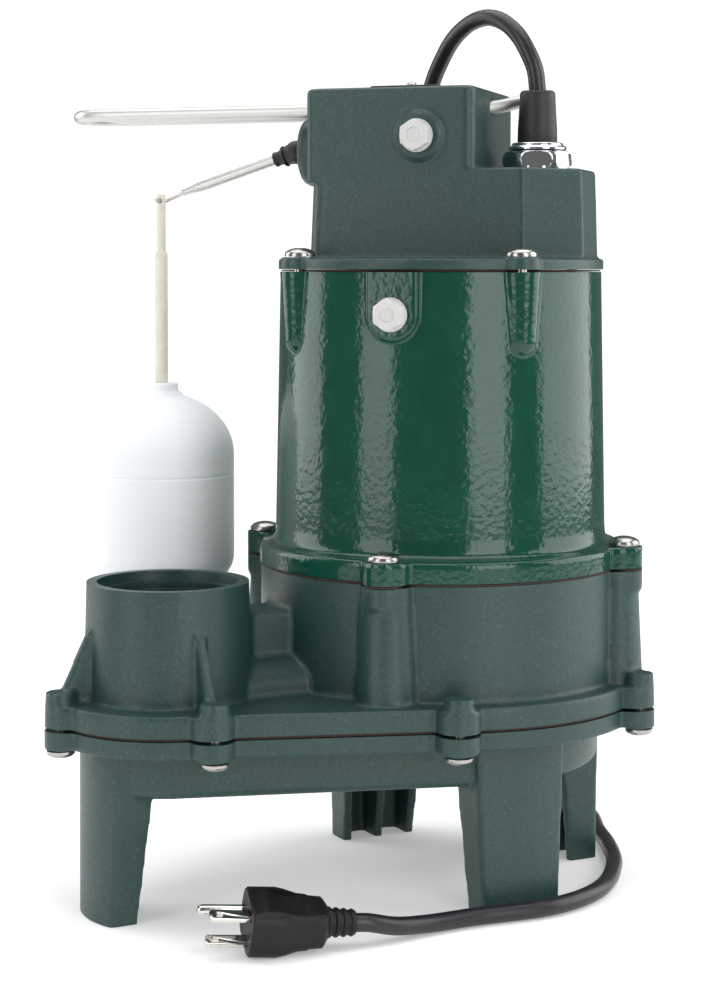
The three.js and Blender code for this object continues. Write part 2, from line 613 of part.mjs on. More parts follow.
function makeTopPlate() {
  const z0 = BLOCK_TOP + GAP;
  const plate = prism(roundedRectangle(-27, 6, PLATE_V - 12, PLATE_V + 12, 3), z0, z0 + 1);
  return cut(plate, cylinder(1.4, z0 - 1, z0 + 2, PLATE_U, PLATE_V, TINY));
}
addPart(capGroup, "top_plate", makeTopPlate(), "rubber");

// A domed head on a shank; the head's underside is at z = 0 and the shank points down.
function domedScrew(headRadius, headHeight, shankRadius, shankLength) {
  return lathe(
    [
      [0, -shankLength],
      [shankRadius, -shankLength],
      [shankRadius, 0],
      [headRadius, 0],
      [headRadius, headHeight * 0.35],
      [headRadius * 0.7, headHeight * 0.85],
      [0, headHeight],
    ],
    TINY,
  );
}

const plateScrew = domedScrew(2.5, 2, 1.1, 4).translate([PLATE_U, PLATE_V, BLOCK_TOP + 1 + 2 * GAP]);
addPart(capGroup, "top_plate_screw", plateScrew, "stainless");

capScrewPlaces.forEach(([x, y], i) => {
  const screw = domedScrew(SCREW_HEAD, 4, SCREW_SHANK, 20).translate([x, y, capLugTop + GAP]);
  addPart(assembly, "cap_screw_" + (i + 1), screw, "stainless");
});
lugPlaces.forEach(([x, y], i) => {
  const screw = domedScrew(SCREW_HEAD, 4, SCREW_SHANK, 28).translate([x, y, MOTOR_FLANGE_TOP + 0.6 + GAP]);
  addPart(assembly, "flange_screw_" + (i + 1), screw, "stainless");
});
baseScrewPlaces.forEach(([x, y], i) => {
  const screw = domedScrew(SCREW_HEAD - 0.8, 3.4, SCREW_SHANK, 21)
    .rotate([180, 0, 0])
    .translate([x, y, bossBottom - GAP]);
  addPart(assembly, "base_screw_" + (i + 1), screw, "stainless");
});

// A white hex-headed plug, its axis along X with the head outwards.
function hexPlug(faceX) {
  const corner = HEX_PLUG_AF / 2 / Math.cos(30 * DEG);
  const head = new THREE.CylinderGeometry(corner, corner, 5, 6);
  const headSolid = solidOf(head.rotateZ(-90 * DEG).translate(faceX + GAP + 1 + 2.5, 0, 0));
  const collar = barX(HEX_PLUG_AF / 2 + 1.2, faceX + GAP, faceX + GAP + 1, 0, 0, SMALL);
  const stem = barX(PLUG_STEM, faceX + GAP - 8, faceX + GAP + 0.5, 0, 0, TINY);
  return joined(headSolid, collar, stem);
}
const oilPlug = hexPlug(plugPadFace).translate([0, 0, MOTOR_PLUG_Z]).rotate([0, 0, PAD_BEARING]);
addPart(assembly, "oil_plug", oilPlug, "nylon");
const blockPlug = hexPlug(BLOCK_HALF + 2.5).rotate([0, 0, 270]).translate([0, 0, BLOCK_PLUG_Z]);
addPart(capGroup, "switch_case_plug", blockPlug, "nylon");

// ---------- cord gland on the shelf ----------
const nutBottom = SHELF + GAP;
const nutTop = nutBottom + 8.2;
const collarTop = nutTop + GAP + 3.6;
const reliefTop = BLOCK_TOP - 0.8;
const CORD_ROOM = CORD_RADIUS + FIT;

function makeGlandNut() {
  const across = GLAND_AF / Math.cos(30 * DEG);
  const hex = cylinder(across / 2, nutBottom, nutTop, 0, 0, 6).rotate([0, 0, 12]);
  const washer = cylinder(GLAND_AF / 2 + 0.6, nutBottom, nutBottom + 1.2);
  const stem = cylinder(GLAND_STEM, SHELF - 9, nutBottom + 1, 0, 0, SMALL);
  const bore = cylinder(CORD_ROOM + 1, SHELF - 10, nutTop + 1, 0, 0, SMALL);
  return cut(joined(hex, washer, stem), bore).translate([GLAND_U, 0, 0]);
}
addPart(capGroup, "gland_nut", makeGlandNut(), "chrome");

const glandCollar = closedLathe(
  [
    [CORD_ROOM + 1, nutTop + GAP],
    [13, nutTop + GAP],
    [13.4, nutTop + GAP + 1.4],
    [11.5, collarTop],
    [CORD_ROOM + 1, collarTop],
  ],
  MIDDLE,
).translate([GLAND_U, 0, 0]);
addPart(capGroup, "gland_collar", glandCollar, "chrome");

const strainRelief = closedLathe(
  [
    [CORD_ROOM, collarTop + GAP],
    [9, collarTop + GAP],
    [8.8, collarTop + 6],
    [8.2, reliefTop - 2],
    [7.2, reliefTop],
    [CORD_ROOM, reliefTop],
  ],
  SMALL,
).translate([GLAND_U, 0, 0]);
addPart(capGroup, "strain_relief", strainRelief, "rubber");

// ---------- motor internals ----------
const plateBottom = plateSeat + GAP;
const plateTop = plateBottom + 9;
const bearingOuter = 16;
const lowerBearingBottom = plateTop - 2;
const upperBearingBottom = CAP_PARTING - 20.3;
const BEARING_HEIGHT = 10;
const BRACKET_THICKNESS = 5;
const bracketTop = upperBearingBottom - 4 + BRACKET_THICKNESS;

function makeSealPlate() {
  const plateRadius = CASE_RADIUS - CASE_WALL - FIT;
  const disc = cylinder(plateRadius, plateBottom, plateTop, 0, 0, WIDE);
  const hub = cylinder(22, plateTop - 1, lowerBearingBottom + BEARING_HEIGHT);
  const shaftHole = cylinder(SHAFT_RADIUS + 5, plateBottom - 1, plateTop + 20);
  const bearingSeat = cylinder(bearingOuter + GAP, lowerBearingBottom - GAP, plateTop + 20);
  return cut(joined(disc, hub), shaftHole, bearingSeat);
}
addPart(assembly, "seal_plate", makeSealPlate(), "iron");

const bearing = (z0) => ring(bearingOuter, SHAFT_RADIUS + GAP, z0, z0 + BEARING_HEIGHT, MIDDLE);
addPart(assembly, "lower_bearing", bearing(lowerBearingBottom), "steel");
addPart(assembly, "upper_bearing", bearing(upperBearingBottom), "steel");

function makeUpperBracket() {
  const z0 = bracketTop - BRACKET_THICKNESS;
  const disc = cylinder(MOTOR_BORE - FIT, z0, bracketTop, 0, 0, WIDE);
  const hub = cylinder(22, z0, upperBearingBottom + BEARING_HEIGHT + 3);
  const seat = cylinder(bearingOuter + GAP, z0 - 1, upperBearingBottom + BEARING_HEIGHT + GAP);
  const oilCircle = (MOTOR_BORE + 27) / 2; // halfway from the hub to the rim
  const oilHoles = [30, 120, 210, 300].map((angle) => {
    const [x, y] = polar(oilCircle, angle);
    return cylinder(11, z0 - 1, z0 + 6, x, y, SMALL);
  });
  const vent = cylinder(5, z0, upperBearingBottom + BEARING_HEIGHT + 5, 0, 0, SMALL);
  return cut(joined(disc, hub), seat, vent, ...oilHoles);
}
addPart(assembly, "upper_bracket", makeUpperBracket(), "iron");

const statorInner = ROTOR_RADIUS + AIR_GAP;
addPart(assembly, "stator_core", ring(MOTOR_BORE - FIT, statorInner, STACK_BOTTOM, STACK_TOP), "steel");
const windingOuter = MOTOR_BORE - 11.4;
const winding = (z0, z1) =>
  closedLathe(
    [
      [statorInner + 4, z0],
      [windingOuter - 3, z0],
      [windingOuter, (z0 + z1) / 2],
      [windingOuter - 3, z1],
      [statorInner + 4, z1],
    ],
    MIDDLE,
  );
addPart(assembly, "lower_winding", winding(STACK_BOTTOM - GAP - 16, STACK_BOTTOM - GAP), "copper");
addPart(assembly, "upper_winding", winding(STACK_TOP + GAP, STACK_TOP + GAP + 11), "copper");
const protector = box(-9, 9, -5, 5, bracketTop + GAP, bracketTop + 9).translate([0, -46, 0]);
addPart(assembly, "thermal_protector", protector, "rubber");

// Rotating group: shaft, rotor, seal ring, impeller and its nut.
const IMPELLER_RADIUS = 46;
const impellerTop = plateSeat - 14;
const impellerBottom = BASE_PARTING + 3.5;
const shaftBottom = impellerBottom - 6;
const shaft = cylinder(SHAFT_RADIUS, shaftBottom, upperBearingBottom + BEARING_HEIGHT - 1);
addPart(assembly, "shaft", shaft, "steel");
addPart(assembly, "rotor", ring(ROTOR_RADIUS, SHAFT_RADIUS + GAP, STACK_BOTTOM - 4, STACK_TOP + 4), "iron");

function makeImpeller() {
  const vaneCount = 4;
  const disc = cylinder(IMPELLER_RADIUS, impellerTop - 5, impellerTop, 0, 0, WIDE);
  const hub = cylinder(14, impellerBottom, impellerTop, 0, 0, MIDDLE, 17);
  const vanes = [];
  for (let i = 0; i < vaneCount; i += 1) {
    const vane = new THREE.Shape();
    vane.absarc(8, 24, 30, -100 * DEG, -10 * DEG);
    vane.absarc(8, 24, 26, -10 * DEG, -100 * DEG, true);
    vane.closePath();
    const blade = prism(vane, impellerBottom + 4, impellerTop - 4, 4);
    vanes.push(blade.rotate([0, 0, (360 / vaneCount) * i]));
  }
  const shaftHole = cylinder(SHAFT_RADIUS + GAP, impellerBottom - 1, impellerTop + 1);
  return cut(joined(disc, hub, ...vanes), shaftHole);
}
addPart(assembly, "impeller", makeImpeller(), "iron");
const impellerNut = cut(
  cylinder(10, impellerBottom - GAP - 5, impellerBottom - GAP, 0, 0, 6),
  cylinder(SHAFT_RADIUS + GAP, shaftBottom - 2, impellerBottom),
);
addPart(assembly, "impeller_nut", impellerNut, "brass");
const sealFace = impellerTop + 8;
addPart(assembly, "seal_ring", ring(13, SHAFT_RADIUS + GAP, impellerTop + GAP, sealFace, MIDDLE), "steel");
const sealSeat = ring(15, SHAFT_RADIUS + 1.2, sealFace + GAP, plateBottom - GAP, MIDDLE);
addPart(assembly, "seal_seat", sealSeat, "brass");

// ---------- switch inside the block ----------
function makeMicroswitch() {
  const body = box(buttonU - 4, buttonU + 24, -SWITCH_HALF, SWITCH_HALF, switchTop - 16, switchTop);
  const well = cylinder(BUTTON_RADIUS + FIT, switchTop - 7, switchTop + 1, buttonU, 0, SMALL);
  return cut(body, well);
}
addPart(capGroup, "microswitch", makeMicroswitch(), "rubber");
const button = cylinder(BUTTON_RADIUS, buttonTop - 5, buttonTop, buttonU, 0, SMALL);
addPart(capGroup, "switch_button", button, "ivory");

// ---------- float arm, boot, rod and float ----------
const armDirection = [-Math.cos(ARM_DROP * DEG), -Math.sin(ARM_DROP * DEG)];
const along = (distance) => [PIVOT_U + armDirection[0] * distance, PIVOT_Z + armDirection[1] * distance];
const BOOT_BALL = 5.6;
const BOOT_NECK_END = 11.5;

// Everything on the arm is drawn along -X from the pivot and then tilted down to its rest angle.
const tiltDown = (solid) => solid.rotate([0, -ARM_DROP, 0]).translate([PIVOT_U, 0, PIVOT_Z]);

function makeBoot() {
  const ball = solidOf(new THREE.SphereGeometry(BOOT_BALL, SMALL, 10));
  const neck = barX(2.9, -BOOT_NECK_END, -3, 0, 0, SMALL, 5);
  return tiltDown(cut(joined(ball, neck), barX(ARM_TUBE / 2 + GAP, -40, 40, 0, 0, SMALL)));
}

function makeArm() {
  const tail = barX(TAIL_RADIUS, -1, TAIL_LENGTH, 0, 0, TINY);
  const barrel = barX(ARM_TUBE / 2, -ARM_TUBE_LENGTH, 4, 0, 0, TINY);
  const straight = tiltDown(joined(tail, barrel));
  const [endU, endZ] = along(ARM_TUBE_LENGTH - 3);
  const side = ROD_THIN + ARM_WIRE / 2 + 1;
  const wirePath = smoothCurve([
    [endU, 0, endZ],
    [endU - 4, 0.8, endZ - 1.3],
    [HOOK_U + 6, side - 0.6, HOOK_Z + 1.9],
    [HOOK_U + 2, side, HOOK_Z + 0.5],
    [HOOK_U, side - 1.6, HOOK_Z],
    [HOOK_U, 0, HOOK_Z],
    [HOOK_U, -8, HOOK_Z],
  ]);
  return joined(straight, tube(wirePath, ARM_WIRE / 2, 20, 8));
}
addPart(capGroup, "arm_boot", makeBoot(), "rubber");
addPart(capGroup, "switch_arm", makeArm(), "stainless");

const ROD_IN_FLOAT = 26;
function makeFloatRod() {
  const rod = lathe(
    [
      [0, FLOAT_TOP - ROD_IN_FLOAT],
      [ROD_THICK, FLOAT_TOP - ROD_IN_FLOAT],
      [ROD_THICK, ROD_STEP],
      [ROD_THIN, ROD_STEP + 1.5],
      [ROD_THIN, ROD_TOP - 0.8],
      [ROD_THIN - 0.7, ROD_TOP],
      [0, ROD_TOP],
    ],
    SMALL,
  ).translate([HOOK_U, 0, 0]);
  return cut(rod, barY(ARM_WIRE / 2 + FIT, -5, 5, HOOK_U, HOOK_Z, TINY));
}
addPart(capGroup, "float_rod", makeFloatRod(), "ivory");

function makeFloat() {
  const shoulder = FLOAT_TOP - 31;
  const foot = FLOAT_BOTTOM + 22;
  const points = [[0, FLOAT_BOTTOM]];
  for (let angle = 15; angle <= 90; angle += 15) {
    const z = foot - (foot - FLOAT_BOTTOM) * Math.cos(angle * DEG);
    points.push([FLOAT_RADIUS * Math.sin(angle * DEG), z]);
  }
  for (let angle = 0; angle <= 70; angle += 14) {
    const z = shoulder + (FLOAT_TOP - 1 - shoulder) * Math.sin(angle * DEG);
    points.push([FLOAT_RADIUS * Math.cos(angle * DEG), z]);
  }
  points.push([FLOAT_NECK, FLOAT_TOP - 1], [FLOAT_NECK, FLOAT_TOP + 4], [0, FLOAT_TOP + 4]);
  const body = lathe(points, MIDDLE);
  const socket = cylinder(ROD_THICK + GAP, FLOAT_TOP - ROD_IN_FLOAT - GAP, FLOAT_TOP + 5, 0, 0, SMALL);
  return cut(body, socket).translate([HOOK_U, 0, 0]);
}
addPart(capGroup, "float", makeFloat(), "float");

// ---------- plug: X runs from its face to the tips of its prongs ----------
const plugFace = new THREE.Vector3(-134.2, -78.7, 14.1);
const PLUG_YAW = 167.3;
const PLUG_PITCH = -4.6;
const PLUG_ROLL = -22;
const plugGroup = new THREE.Group();
plugGroup.position.copy(plugFace);
plugGroup.rotation.set(PLUG_ROLL * DEG, PLUG_PITCH * DEG, PLUG_YAW * DEG, "ZYX");
assembly.add(plugGroup);
const BLADE_SPACING = 12.7;
const GROUND_OFFSET = 11.9;
const FACE_SHIFT = 4.5; // blades' centre from the middle of the face

function plugSlice(length, halfY, halfZ, x0) {
  const shape = roundedRectangle(-halfZ, halfZ, -halfY, halfY, Math.min(halfY, halfZ) * 0.55);
  const settings = { depth: length, bevelEnabled: false, curveSegments: 4 };
  const geometry = new THREE.ExtrudeGeometry(shape, settings);
  return solidOf(geometry.rotateY(90 * DEG).translate(x0, 0, 0));
}

function makePlugBody() {
  const face = plugSlice(9, 13, 11, -9);
  const waist = plugSlice(PLUG_LENGTH - 8.5, 10, 8.5, -PLUG_LENGTH);
  const relief = barX(5, -PLUG_LENGTH - PLUG_RELIEF, -PLUG_LENGTH + 1, 0, 0, SMALL, 6.5);
  const body = joined(face, waist, relief);
  const bladeSlots = [-1, 1].map((side) => bladeBox(side, FIT));
  const pinHole = barX(2.4 + FIT, -7 - FIT, 2, FACE_SHIFT - GROUND_OFFSET, 0, TINY);
  return cut(body, ...bladeSlots, pinHole);
}

function bladeBox(side, room) {
  const z = (side * BLADE_SPACING) / 2;
  const reach = room ? 2 : 17;
  const halfWidth = 3.2 + room;
  const halfThickness = 0.75 + room;
  return box(
    -7 - room,
    reach,
    FACE_SHIFT - halfWidth,
    FACE_SHIFT + halfWidth,
    z - halfThickness,
    z + halfThickness,
  );
}

addPart(plugGroup, "plug_body", makePlugBody(), "rubber");
[-1, 1].forEach((side, i) => {
  const z = (side * BLADE_SPACING) / 2;
  const hole = cylinder(1.6, z - 3, z + 3, 13, FACE_SHIFT, TINY);
  addPart(plugGroup, "plug_blade_" + (i + 1), cut(bladeBox(side, 0), hole), "steel");
});
const pinTip = 20;
const groundPin = joined(
  barX(2.4, -7, pinTip - 3, FACE_SHIFT - GROUND_OFFSET, 0, TINY),
  barX(2.4, pinTip - 3.1, pinTip, FACE_SHIFT - GROUND_OFFSET, 0, TINY, 1.2),
);
addPart(plugGroup, "ground_pin", groundPin, "steel");

// ---------- cord: from the gland over the block, down behind the motor, a coil, then the plug ----------
const CORD_FLOOR = CORD_RADIUS + 0.2;
const coilEntry = COIL_HEIGHT + CORD_RADIUS + 1.4; // the cord comes down onto the coil here
const glandX = GLAND_U * Math.cos(BLOCK_TURN * DEG);
const glandY = GLAND_U * Math.sin(BLOCK_TURN * DEG);
const upperRoute = [
  [glandX, glandY, reliefTop + GAP],
  [glandX - 1, glandY + 0.7, BLOCK_TOP + 9],
  [glandX - 3.2, glandY + 4.6, BLOCK_TOP + 18.5],
  [27.2, -22.3, BLOCK_TOP + 26.3],
  [24.9, -14.4, BLOCK_TOP + 32.1],
  [22.5, -5.4, BLOCK_TOP + 34.9],
  [19.8, 6, BLOCK_TOP + 33.6],
  [17.9, 19.3, BLOCK_TOP + 27.4],
  [17.7, 31.7, BLOCK_TOP + 17.6],
  [18.6, 43.6, BLOCK_TOP + 5.7],
  [22, 62, BLOCK_TOP - 20],
  [29, 83, BLOCK_TOP - 60],
  [37, 102, CAP_PARTING - 27],
  [44, 119, 200],
  [50, 134, 145],
  [55, 147, 95],
  [58, 156, 62],
  [59, 164, 41],
  [59.9, 173, coilEntry + 6.7],
  [60.6, 181, coilEntry],
];
const lowerRoute = [
  [153.5, 147, CORD_FLOOR],
  [147.7, 132, CORD_FLOOR],
  [139, 110, CORD_FLOOR],
  [129, 84, CORD_FLOOR],
  [114, 50, CORD_FLOOR],
  [105, 28, CORD_FLOOR],
  [95.8, 9.7, CORD_FLOOR],
  [84.6, -16.9, CORD_FLOOR],
  [68.3, -46.1, CORD_FLOOR],
  [39.6, -76.6, CORD_FLOOR],
  [9.6, -88.4, CORD_FLOOR],
  [-30.9, -86.5, CORD_FLOOR],
  [-54, -87.5, CORD_FLOOR + 0.5],
  [-71, -90, CORD_FLOOR + 2.6],
];
plugGroup.updateMatrixWorld(true);
for (const behind of [6, GAP]) {
  const point = new THREE.Vector3(-PLUG_LENGTH - PLUG_RELIEF - behind, 0, 0);
  lowerRoute.push(point.applyMatrix4(plugGroup.matrix).toArray());
}
const coilCentre = [112, 189];

function makeCoil() {
  const [inner, outer] = [COIL_RADIUS - COIL_HALF_WIDTH, COIL_RADIUS + COIL_HALF_WIDTH];
  const z0 = 0.1;
  const z1 = z0 + COIL_HEIGHT;
  return closedLathe(
    [
      [inner, z0 + 3],
      [inner + 3, z0],
      [outer - 3, z0],
      [outer, z0 + 3],
      [outer, z1 - 3],
      [outer - 3, z1],
      [inner + 3, z1],
      [inner, z1 - 3],
    ],
    WIDE,
  ).translate([...coilCentre, 0]);
}
addPart(assembly, "cord_upper", tube(smoothCurve(upperRoute), CORD_RADIUS, 32), "rubber");
addPart(assembly, "cord_lower", tube(smoothCurve(lowerRoute), CORD_RADIUS, 26), "rubber");
addPart(assembly, "cord_coil", makeCoil(), "rubber");

// ---------- put the middle of the pump's footprint on the origin ----------
const footprintBox = new THREE.Box3();
assembly.updateMatrixWorld(true);
assembly.traverse((part) => {
  const onCord = part.name.startsWith("cord") || part.name.startsWith("plug") || part.name === "ground_pin";
  if (part.isMesh && !onCord) footprintBox.expandByObject(part, true);
});
const middle = footprintBox.getCenter(new THREE.Vector3());
assembly.position.set(-middle.x, -middle.y, 0);

export default pump;
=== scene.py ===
"""Submersible sump pump: the visual model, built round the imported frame. Lengths below are millimetres."""
import json
import math

import bpy
from bpy.props import FloatProperty, FloatVectorProperty, IntProperty, PointerProperty
from mathutils import Matrix, Vector

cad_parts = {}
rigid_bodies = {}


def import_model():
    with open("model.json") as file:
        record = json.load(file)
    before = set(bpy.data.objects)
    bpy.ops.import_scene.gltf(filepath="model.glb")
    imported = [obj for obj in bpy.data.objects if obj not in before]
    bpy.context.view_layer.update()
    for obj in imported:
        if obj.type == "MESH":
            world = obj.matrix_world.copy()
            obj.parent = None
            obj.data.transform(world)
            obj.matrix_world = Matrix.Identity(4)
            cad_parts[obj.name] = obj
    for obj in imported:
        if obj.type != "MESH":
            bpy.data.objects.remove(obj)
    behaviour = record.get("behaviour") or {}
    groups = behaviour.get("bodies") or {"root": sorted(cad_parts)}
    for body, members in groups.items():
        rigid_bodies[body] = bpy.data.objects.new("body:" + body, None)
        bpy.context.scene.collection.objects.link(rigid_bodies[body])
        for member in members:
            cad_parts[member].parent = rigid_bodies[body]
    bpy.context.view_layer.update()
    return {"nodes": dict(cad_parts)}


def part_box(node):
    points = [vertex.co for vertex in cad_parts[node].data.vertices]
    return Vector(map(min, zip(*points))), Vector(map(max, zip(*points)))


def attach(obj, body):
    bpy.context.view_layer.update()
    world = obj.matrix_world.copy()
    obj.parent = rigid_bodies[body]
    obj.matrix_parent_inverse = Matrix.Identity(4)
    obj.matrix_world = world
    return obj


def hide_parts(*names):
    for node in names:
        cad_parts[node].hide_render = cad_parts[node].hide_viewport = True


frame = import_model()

bl_info = {
    "name": "Sump Pump Builder",
    "version": (1, 0, 0),
    "blender": (4, 5, 0),
    "location": "View3D > Sidebar > Sump Pump",
    "description": "Builds a submersible sump pump with a vertical float switch",
    "category": "Add Mesh",
}

MM = 0.001
SPARE = 3.0  # how far a skin runs past its true ends before they are cut

# ---------- frames ----------
shaft_low, shaft_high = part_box("shaft")
AXIS = Vector(((shaft_low[0] + shaft_high[0]) / 2, (shaft_low[1] + shaft_high[1]) / 2, 0))
BLOCK_TURN = -45.0
PUMP = Matrix.Translation(AXIS) @ Matrix.Scale(MM, 4)
BLOCK = PUMP @ Matrix.Rotation(math.radians(BLOCK_TURN), 4, "Z")

# ---------- levels above the floor ----------
BOWL_BOTTOM = 55.5
FLANGE_BOTTOM = 75.7
BASE_TOP = 83.7
SEAL_BOTTOM = 84.0
SEAL_TOP = 85.0
CASE_BOTTOM = 85.3
CASE_FLANGE_TOP = 94.7
BOSS_BOTTOM = 75.2
BOSS_TOP = 100.5
CASE_TOP = 145.7
GASKET_BOTTOM = 146.0
GASKET_TOP = 146.7
HOUSING_BOTTOM = 147.0
MOTOR_FLANGE_TOP = 156.2
HOUSING_TOP = 281.4
CAP_SEAL_TOP = 282.3
CAP_BOTTOM = 282.6
CAP_FLANGE_TOP = 287.4
SHELF = 328.0
BLOCK_TOP = 365.0

# ---------- plan sizes ----------
HUB_X = -137.0
CASE_FLANGE_RADIUS = 92.5
HUB_FLANGE_RADIUS = 49.0
CASE_RADIUS = 83.8
BORE_RADIUS = 28.3
VOLUTE_RADIUS = 66.0
INLET_RADIUS = 30.0
HUB_RADIUS = 35.75
HUB_TOP = 145.4
LEG_RADIUS = 78.0
HUB_LEG_RADIUS = 39.0
LEG_WIDTH = 45.0
LEG_DEPTH = 26.0
LEG_WALL = 5.0
MOTOR_BORE = 69.0
LUG_CIRCLE = 87.6
LUG_RADIUS = 8.3
CAP_SCREW_CIRCLE = 72.5
LUG_ANGLES = (45, 135, 225, 315)
CAP_SCREW_ANGLES = (0, 90, 180, 270)
PIVOT = (-71.5, 0.0, 338.0)
GLAND_U = 46.0
CORD_RADIUS = 3.9


def polar(radius, degrees, x=0.0, y=0.0):
    return (x + radius * math.cos(math.radians(degrees)), y + radius * math.sin(math.radians(degrees)))


BASE_SCREWS = [polar(HUB_FLANGE_RADIUS + 1, 180, HUB_X)]
BASE_SCREWS += [polar(HUB_FLANGE_RADIUS + 3.5, angle, HUB_X) for angle in (90, 270)]
BASE_SCREWS += [polar(CASE_FLANGE_RADIUS + 4.5, angle) for angle in (114, 50, 0, -50, -114)]


# ---------- shapes: each is a closed (points, faces) pair ----------
def loft(outlines):
    """Joins equal rings of points from bottom to top and closes both ends. Rings run anticlockwise."""
    count = len(outlines[0])
    points = [p for outline in outlines for p in outline]
    faces = [tuple(range(count - 1, -1, -1))]
    for level in range(len(outlines) - 1):
        a, b = level * count, (level + 1) * count
        faces += [(a + i, a + (i + 1) % count, b + (i + 1) % count, b + i) for i in range(count)]
    last = (len(outlines) - 1) * count
    faces.append(tuple(range(last, last + count)))
    return points, faces


def prism(outline, z0, z1):
    return loft([[(x, y, z) for x, y in outline] for z in (z0, z1)])


def soft_prism(outline_at, z0, z1, low=0.0, high=0.0, steps=5):
    """outline_at(inset) gives the outline. The lower and upper edges are rounded by low and high."""
    levels = []
    for i in range(steps + 1 if low else 1):
        turn = math.pi / 2 * i / steps
        levels.append((low * (1 - math.sin(turn)), z0 + low * (1 - math.cos(turn))))
    for i in range(steps + 1 if high else 1):
        turn = math.pi / 2 * i / steps
        levels.append((high * (1 - math.cos(turn)), z1 - high * (1 - math.sin(turn))))
    return loft([[(x, y, z) for x, y in outline_at(inset)] for inset, z in levels])


def disc(radius, sides=96, x=0.0, y=0.0):
    return [polar(radius, 360 * i / sides, x, y) for i in range(sides)]


def rod(radius, z0, z1, x=0.0, y=0.0, top=None, sides=64):
    top = radius if top is None else top
    lower = [(*p, z0) for p in disc(radius, sides, x, y)]
    return loft([lower, [(*p, z1) for p in disc(top, sides, x, y)]])


def rounded_box(x0, x1, y0, y1, radius, steps=8):
    outline = []
    for x, y, start in (
        (x1 - radius, y0 + radius, -90),
        (x1 - radius, y1 - radius, 0),
        (x0 + radius, y1 - radius, 90),
        (x0 + radius, y0 + radius, 180),
    ):
        outline += [polar(radius, start + 90 * i / steps, x, y) for i in range(steps + 1)]
    return outline


def box(x0, x1, y0, y1, z0, z1):
    return prism([(x0, y0), (x1, y0), (x1, y1), (x0, y1)], z0, z1)


def lathe(profile, sides=96, ring=False):
    """Turns a profile of [radius, z], from the axis's lower end to its upper one, or anticlockwise for a ring."""
    points, rows = [], []
    for radius, z in profile:
        if radius < 1e-6:
            rows.append([len(points)] * sides)
            points.append((0.0, 0.0, z))
        else:
            rows.append(list(range(len(points), len(points) + sides)))
            points += [(*p, z) for p in disc(radius, sides)]
    faces = []
    pairs = list(zip(rows, rows[1:] + rows[:1] if ring else rows[1:]))
    for lower, upper in pairs:
        for i in range(sides):
            j = (i + 1) % sides
            corners = [lower[i], lower[j], upper[j], upper[i]]
            kept = [c for k, c in enumerate(corners) if c != corners[k - 1]]
            if len(kept) > 2:
                faces.append(tuple(kept))
    return points, faces


def smooth_path(points, gap=2.0):
    """A centripetal Catmull-Rom curve through the points, sampled about gap apart."""
    known = [Vector(p) for p in points]
    known = [known[0] * 2 - known[1], *known, known[-1] * 2 - known[-2]]
    path = [known[1].copy()]
    for a, b, c, d in zip(known, known[1:], known[2:], known[3:]):
        t1 = (b - a).length ** 0.5
        t2 = t1 + (c - b).length ** 0.5
        t3 = t2 + (d - c).length ** 0.5
        steps = max(1, round((c - b).length / gap))
        for i in range(1, steps + 1):
            t = t1 + (t2 - t1) * i / steps
            ab, bc, cd = a.lerp(b, t / t1), b.lerp(c, (t - t1) / (t2 - t1)), c.lerp(d, (t - t2) / (t3 - t2))
            path.append(ab.lerp(bc, t / t2).lerp(bc.lerp(cd, (t - t1) / (t3 - t1)), (t - t1) / (t2 - t1)))
    return path


def sweep(path, section_at, up=Vector((0, 0, 1))):
    """section_at(share) gives points across and up for each share of the path's length."""
    path = [Vector(p) for p in path]
    rings = []
    side = None
    for i, p in enumerate(path):
        along = (path[min(i + 1, len(path) - 1)] - path[max(i - 1, 0)]).normalized()
        side = (along.cross(up) if side is None else side - along * side.dot(along)).normalized()
        raised = side.cross(along)
        share = i / (len(path) - 1)
        rings.append([tuple(p + side * a + raised * b) for a, b in section_at(share)])
    return loft([ring[::-1] for ring in rings])


def wire(path, radius, sides=24, round_end=0.0):
    total = len(path) - 1

    def section(share):
        near = min(share, 1 - share) * total
        size = radius * (math.sqrt(min(1.0, (near + 0.35) / round_end)) if round_end else 1.0)
        return disc(size, sides)

    return sweep(path, section)


def moved(shape, matrix):
    points, faces = shape
    return [tuple(matrix @ Vector(p)) for p in points], faces


def turned(shape, degrees, x=0.0, y=0.0):
    return moved(shape, Matrix.Translation((x, y, 0)) @ Matrix.Rotation(math.radians(degrees), 4, "Z"))


def along_x(shape, x=0.0, y=0.0, z=0.0, forward=True):
    """Lays a shape drawn up Z along +X, or along -X."""
    angle = math.radians(90 if forward else -90)
    return moved(shape, Matrix.Translation((x, y, z)) @ Matrix.Rotation(angle, 4, "Y"))


# ---------- from shapes to finished meshes ----------
def object_of(name, shapes):
    points, faces = [], []
    for more_points, more_faces in shapes:
        start = len(points)
        points += more_points
        faces += [tuple(start + i for i in face) for face in more_faces]
    mesh = bpy.data.meshes.new(name)
    mesh.from_pydata(points, [], faces)
    mesh.validate()
    piece = bpy.data.objects.new(name, mesh)
    bpy.context.scene.collection.objects.link(piece)
    return piece


def applied(piece):
    """Turns the evaluated object into a plain mesh and removes its modifiers."""
    bpy.context.view_layer.update()
    evaluated = piece.evaluated_get(bpy.context.evaluated_depsgraph_get())
    mesh = bpy.data.meshes.new_from_object(evaluated)
    piece.modifiers.clear()
    old, piece.data = piece.data, mesh
    mesh.name = piece.name
    bpy.data.meshes.remove(old)
    return piece


def fused(name, shapes, voxel, smooth):
    """Melts overlapping shapes into one skin with small fillets."""
    piece = object_of(name, shapes)
    remesh = piece.modifiers.new("Skin", "REMESH")
    remesh.mode = "VOXEL"
    remesh.voxel_size = voxel
    relax = piece.modifiers.new("Fillets", "SMOOTH")
    relax.factor = 0.5
    relax.iterations = smooth
    return applied(piece)


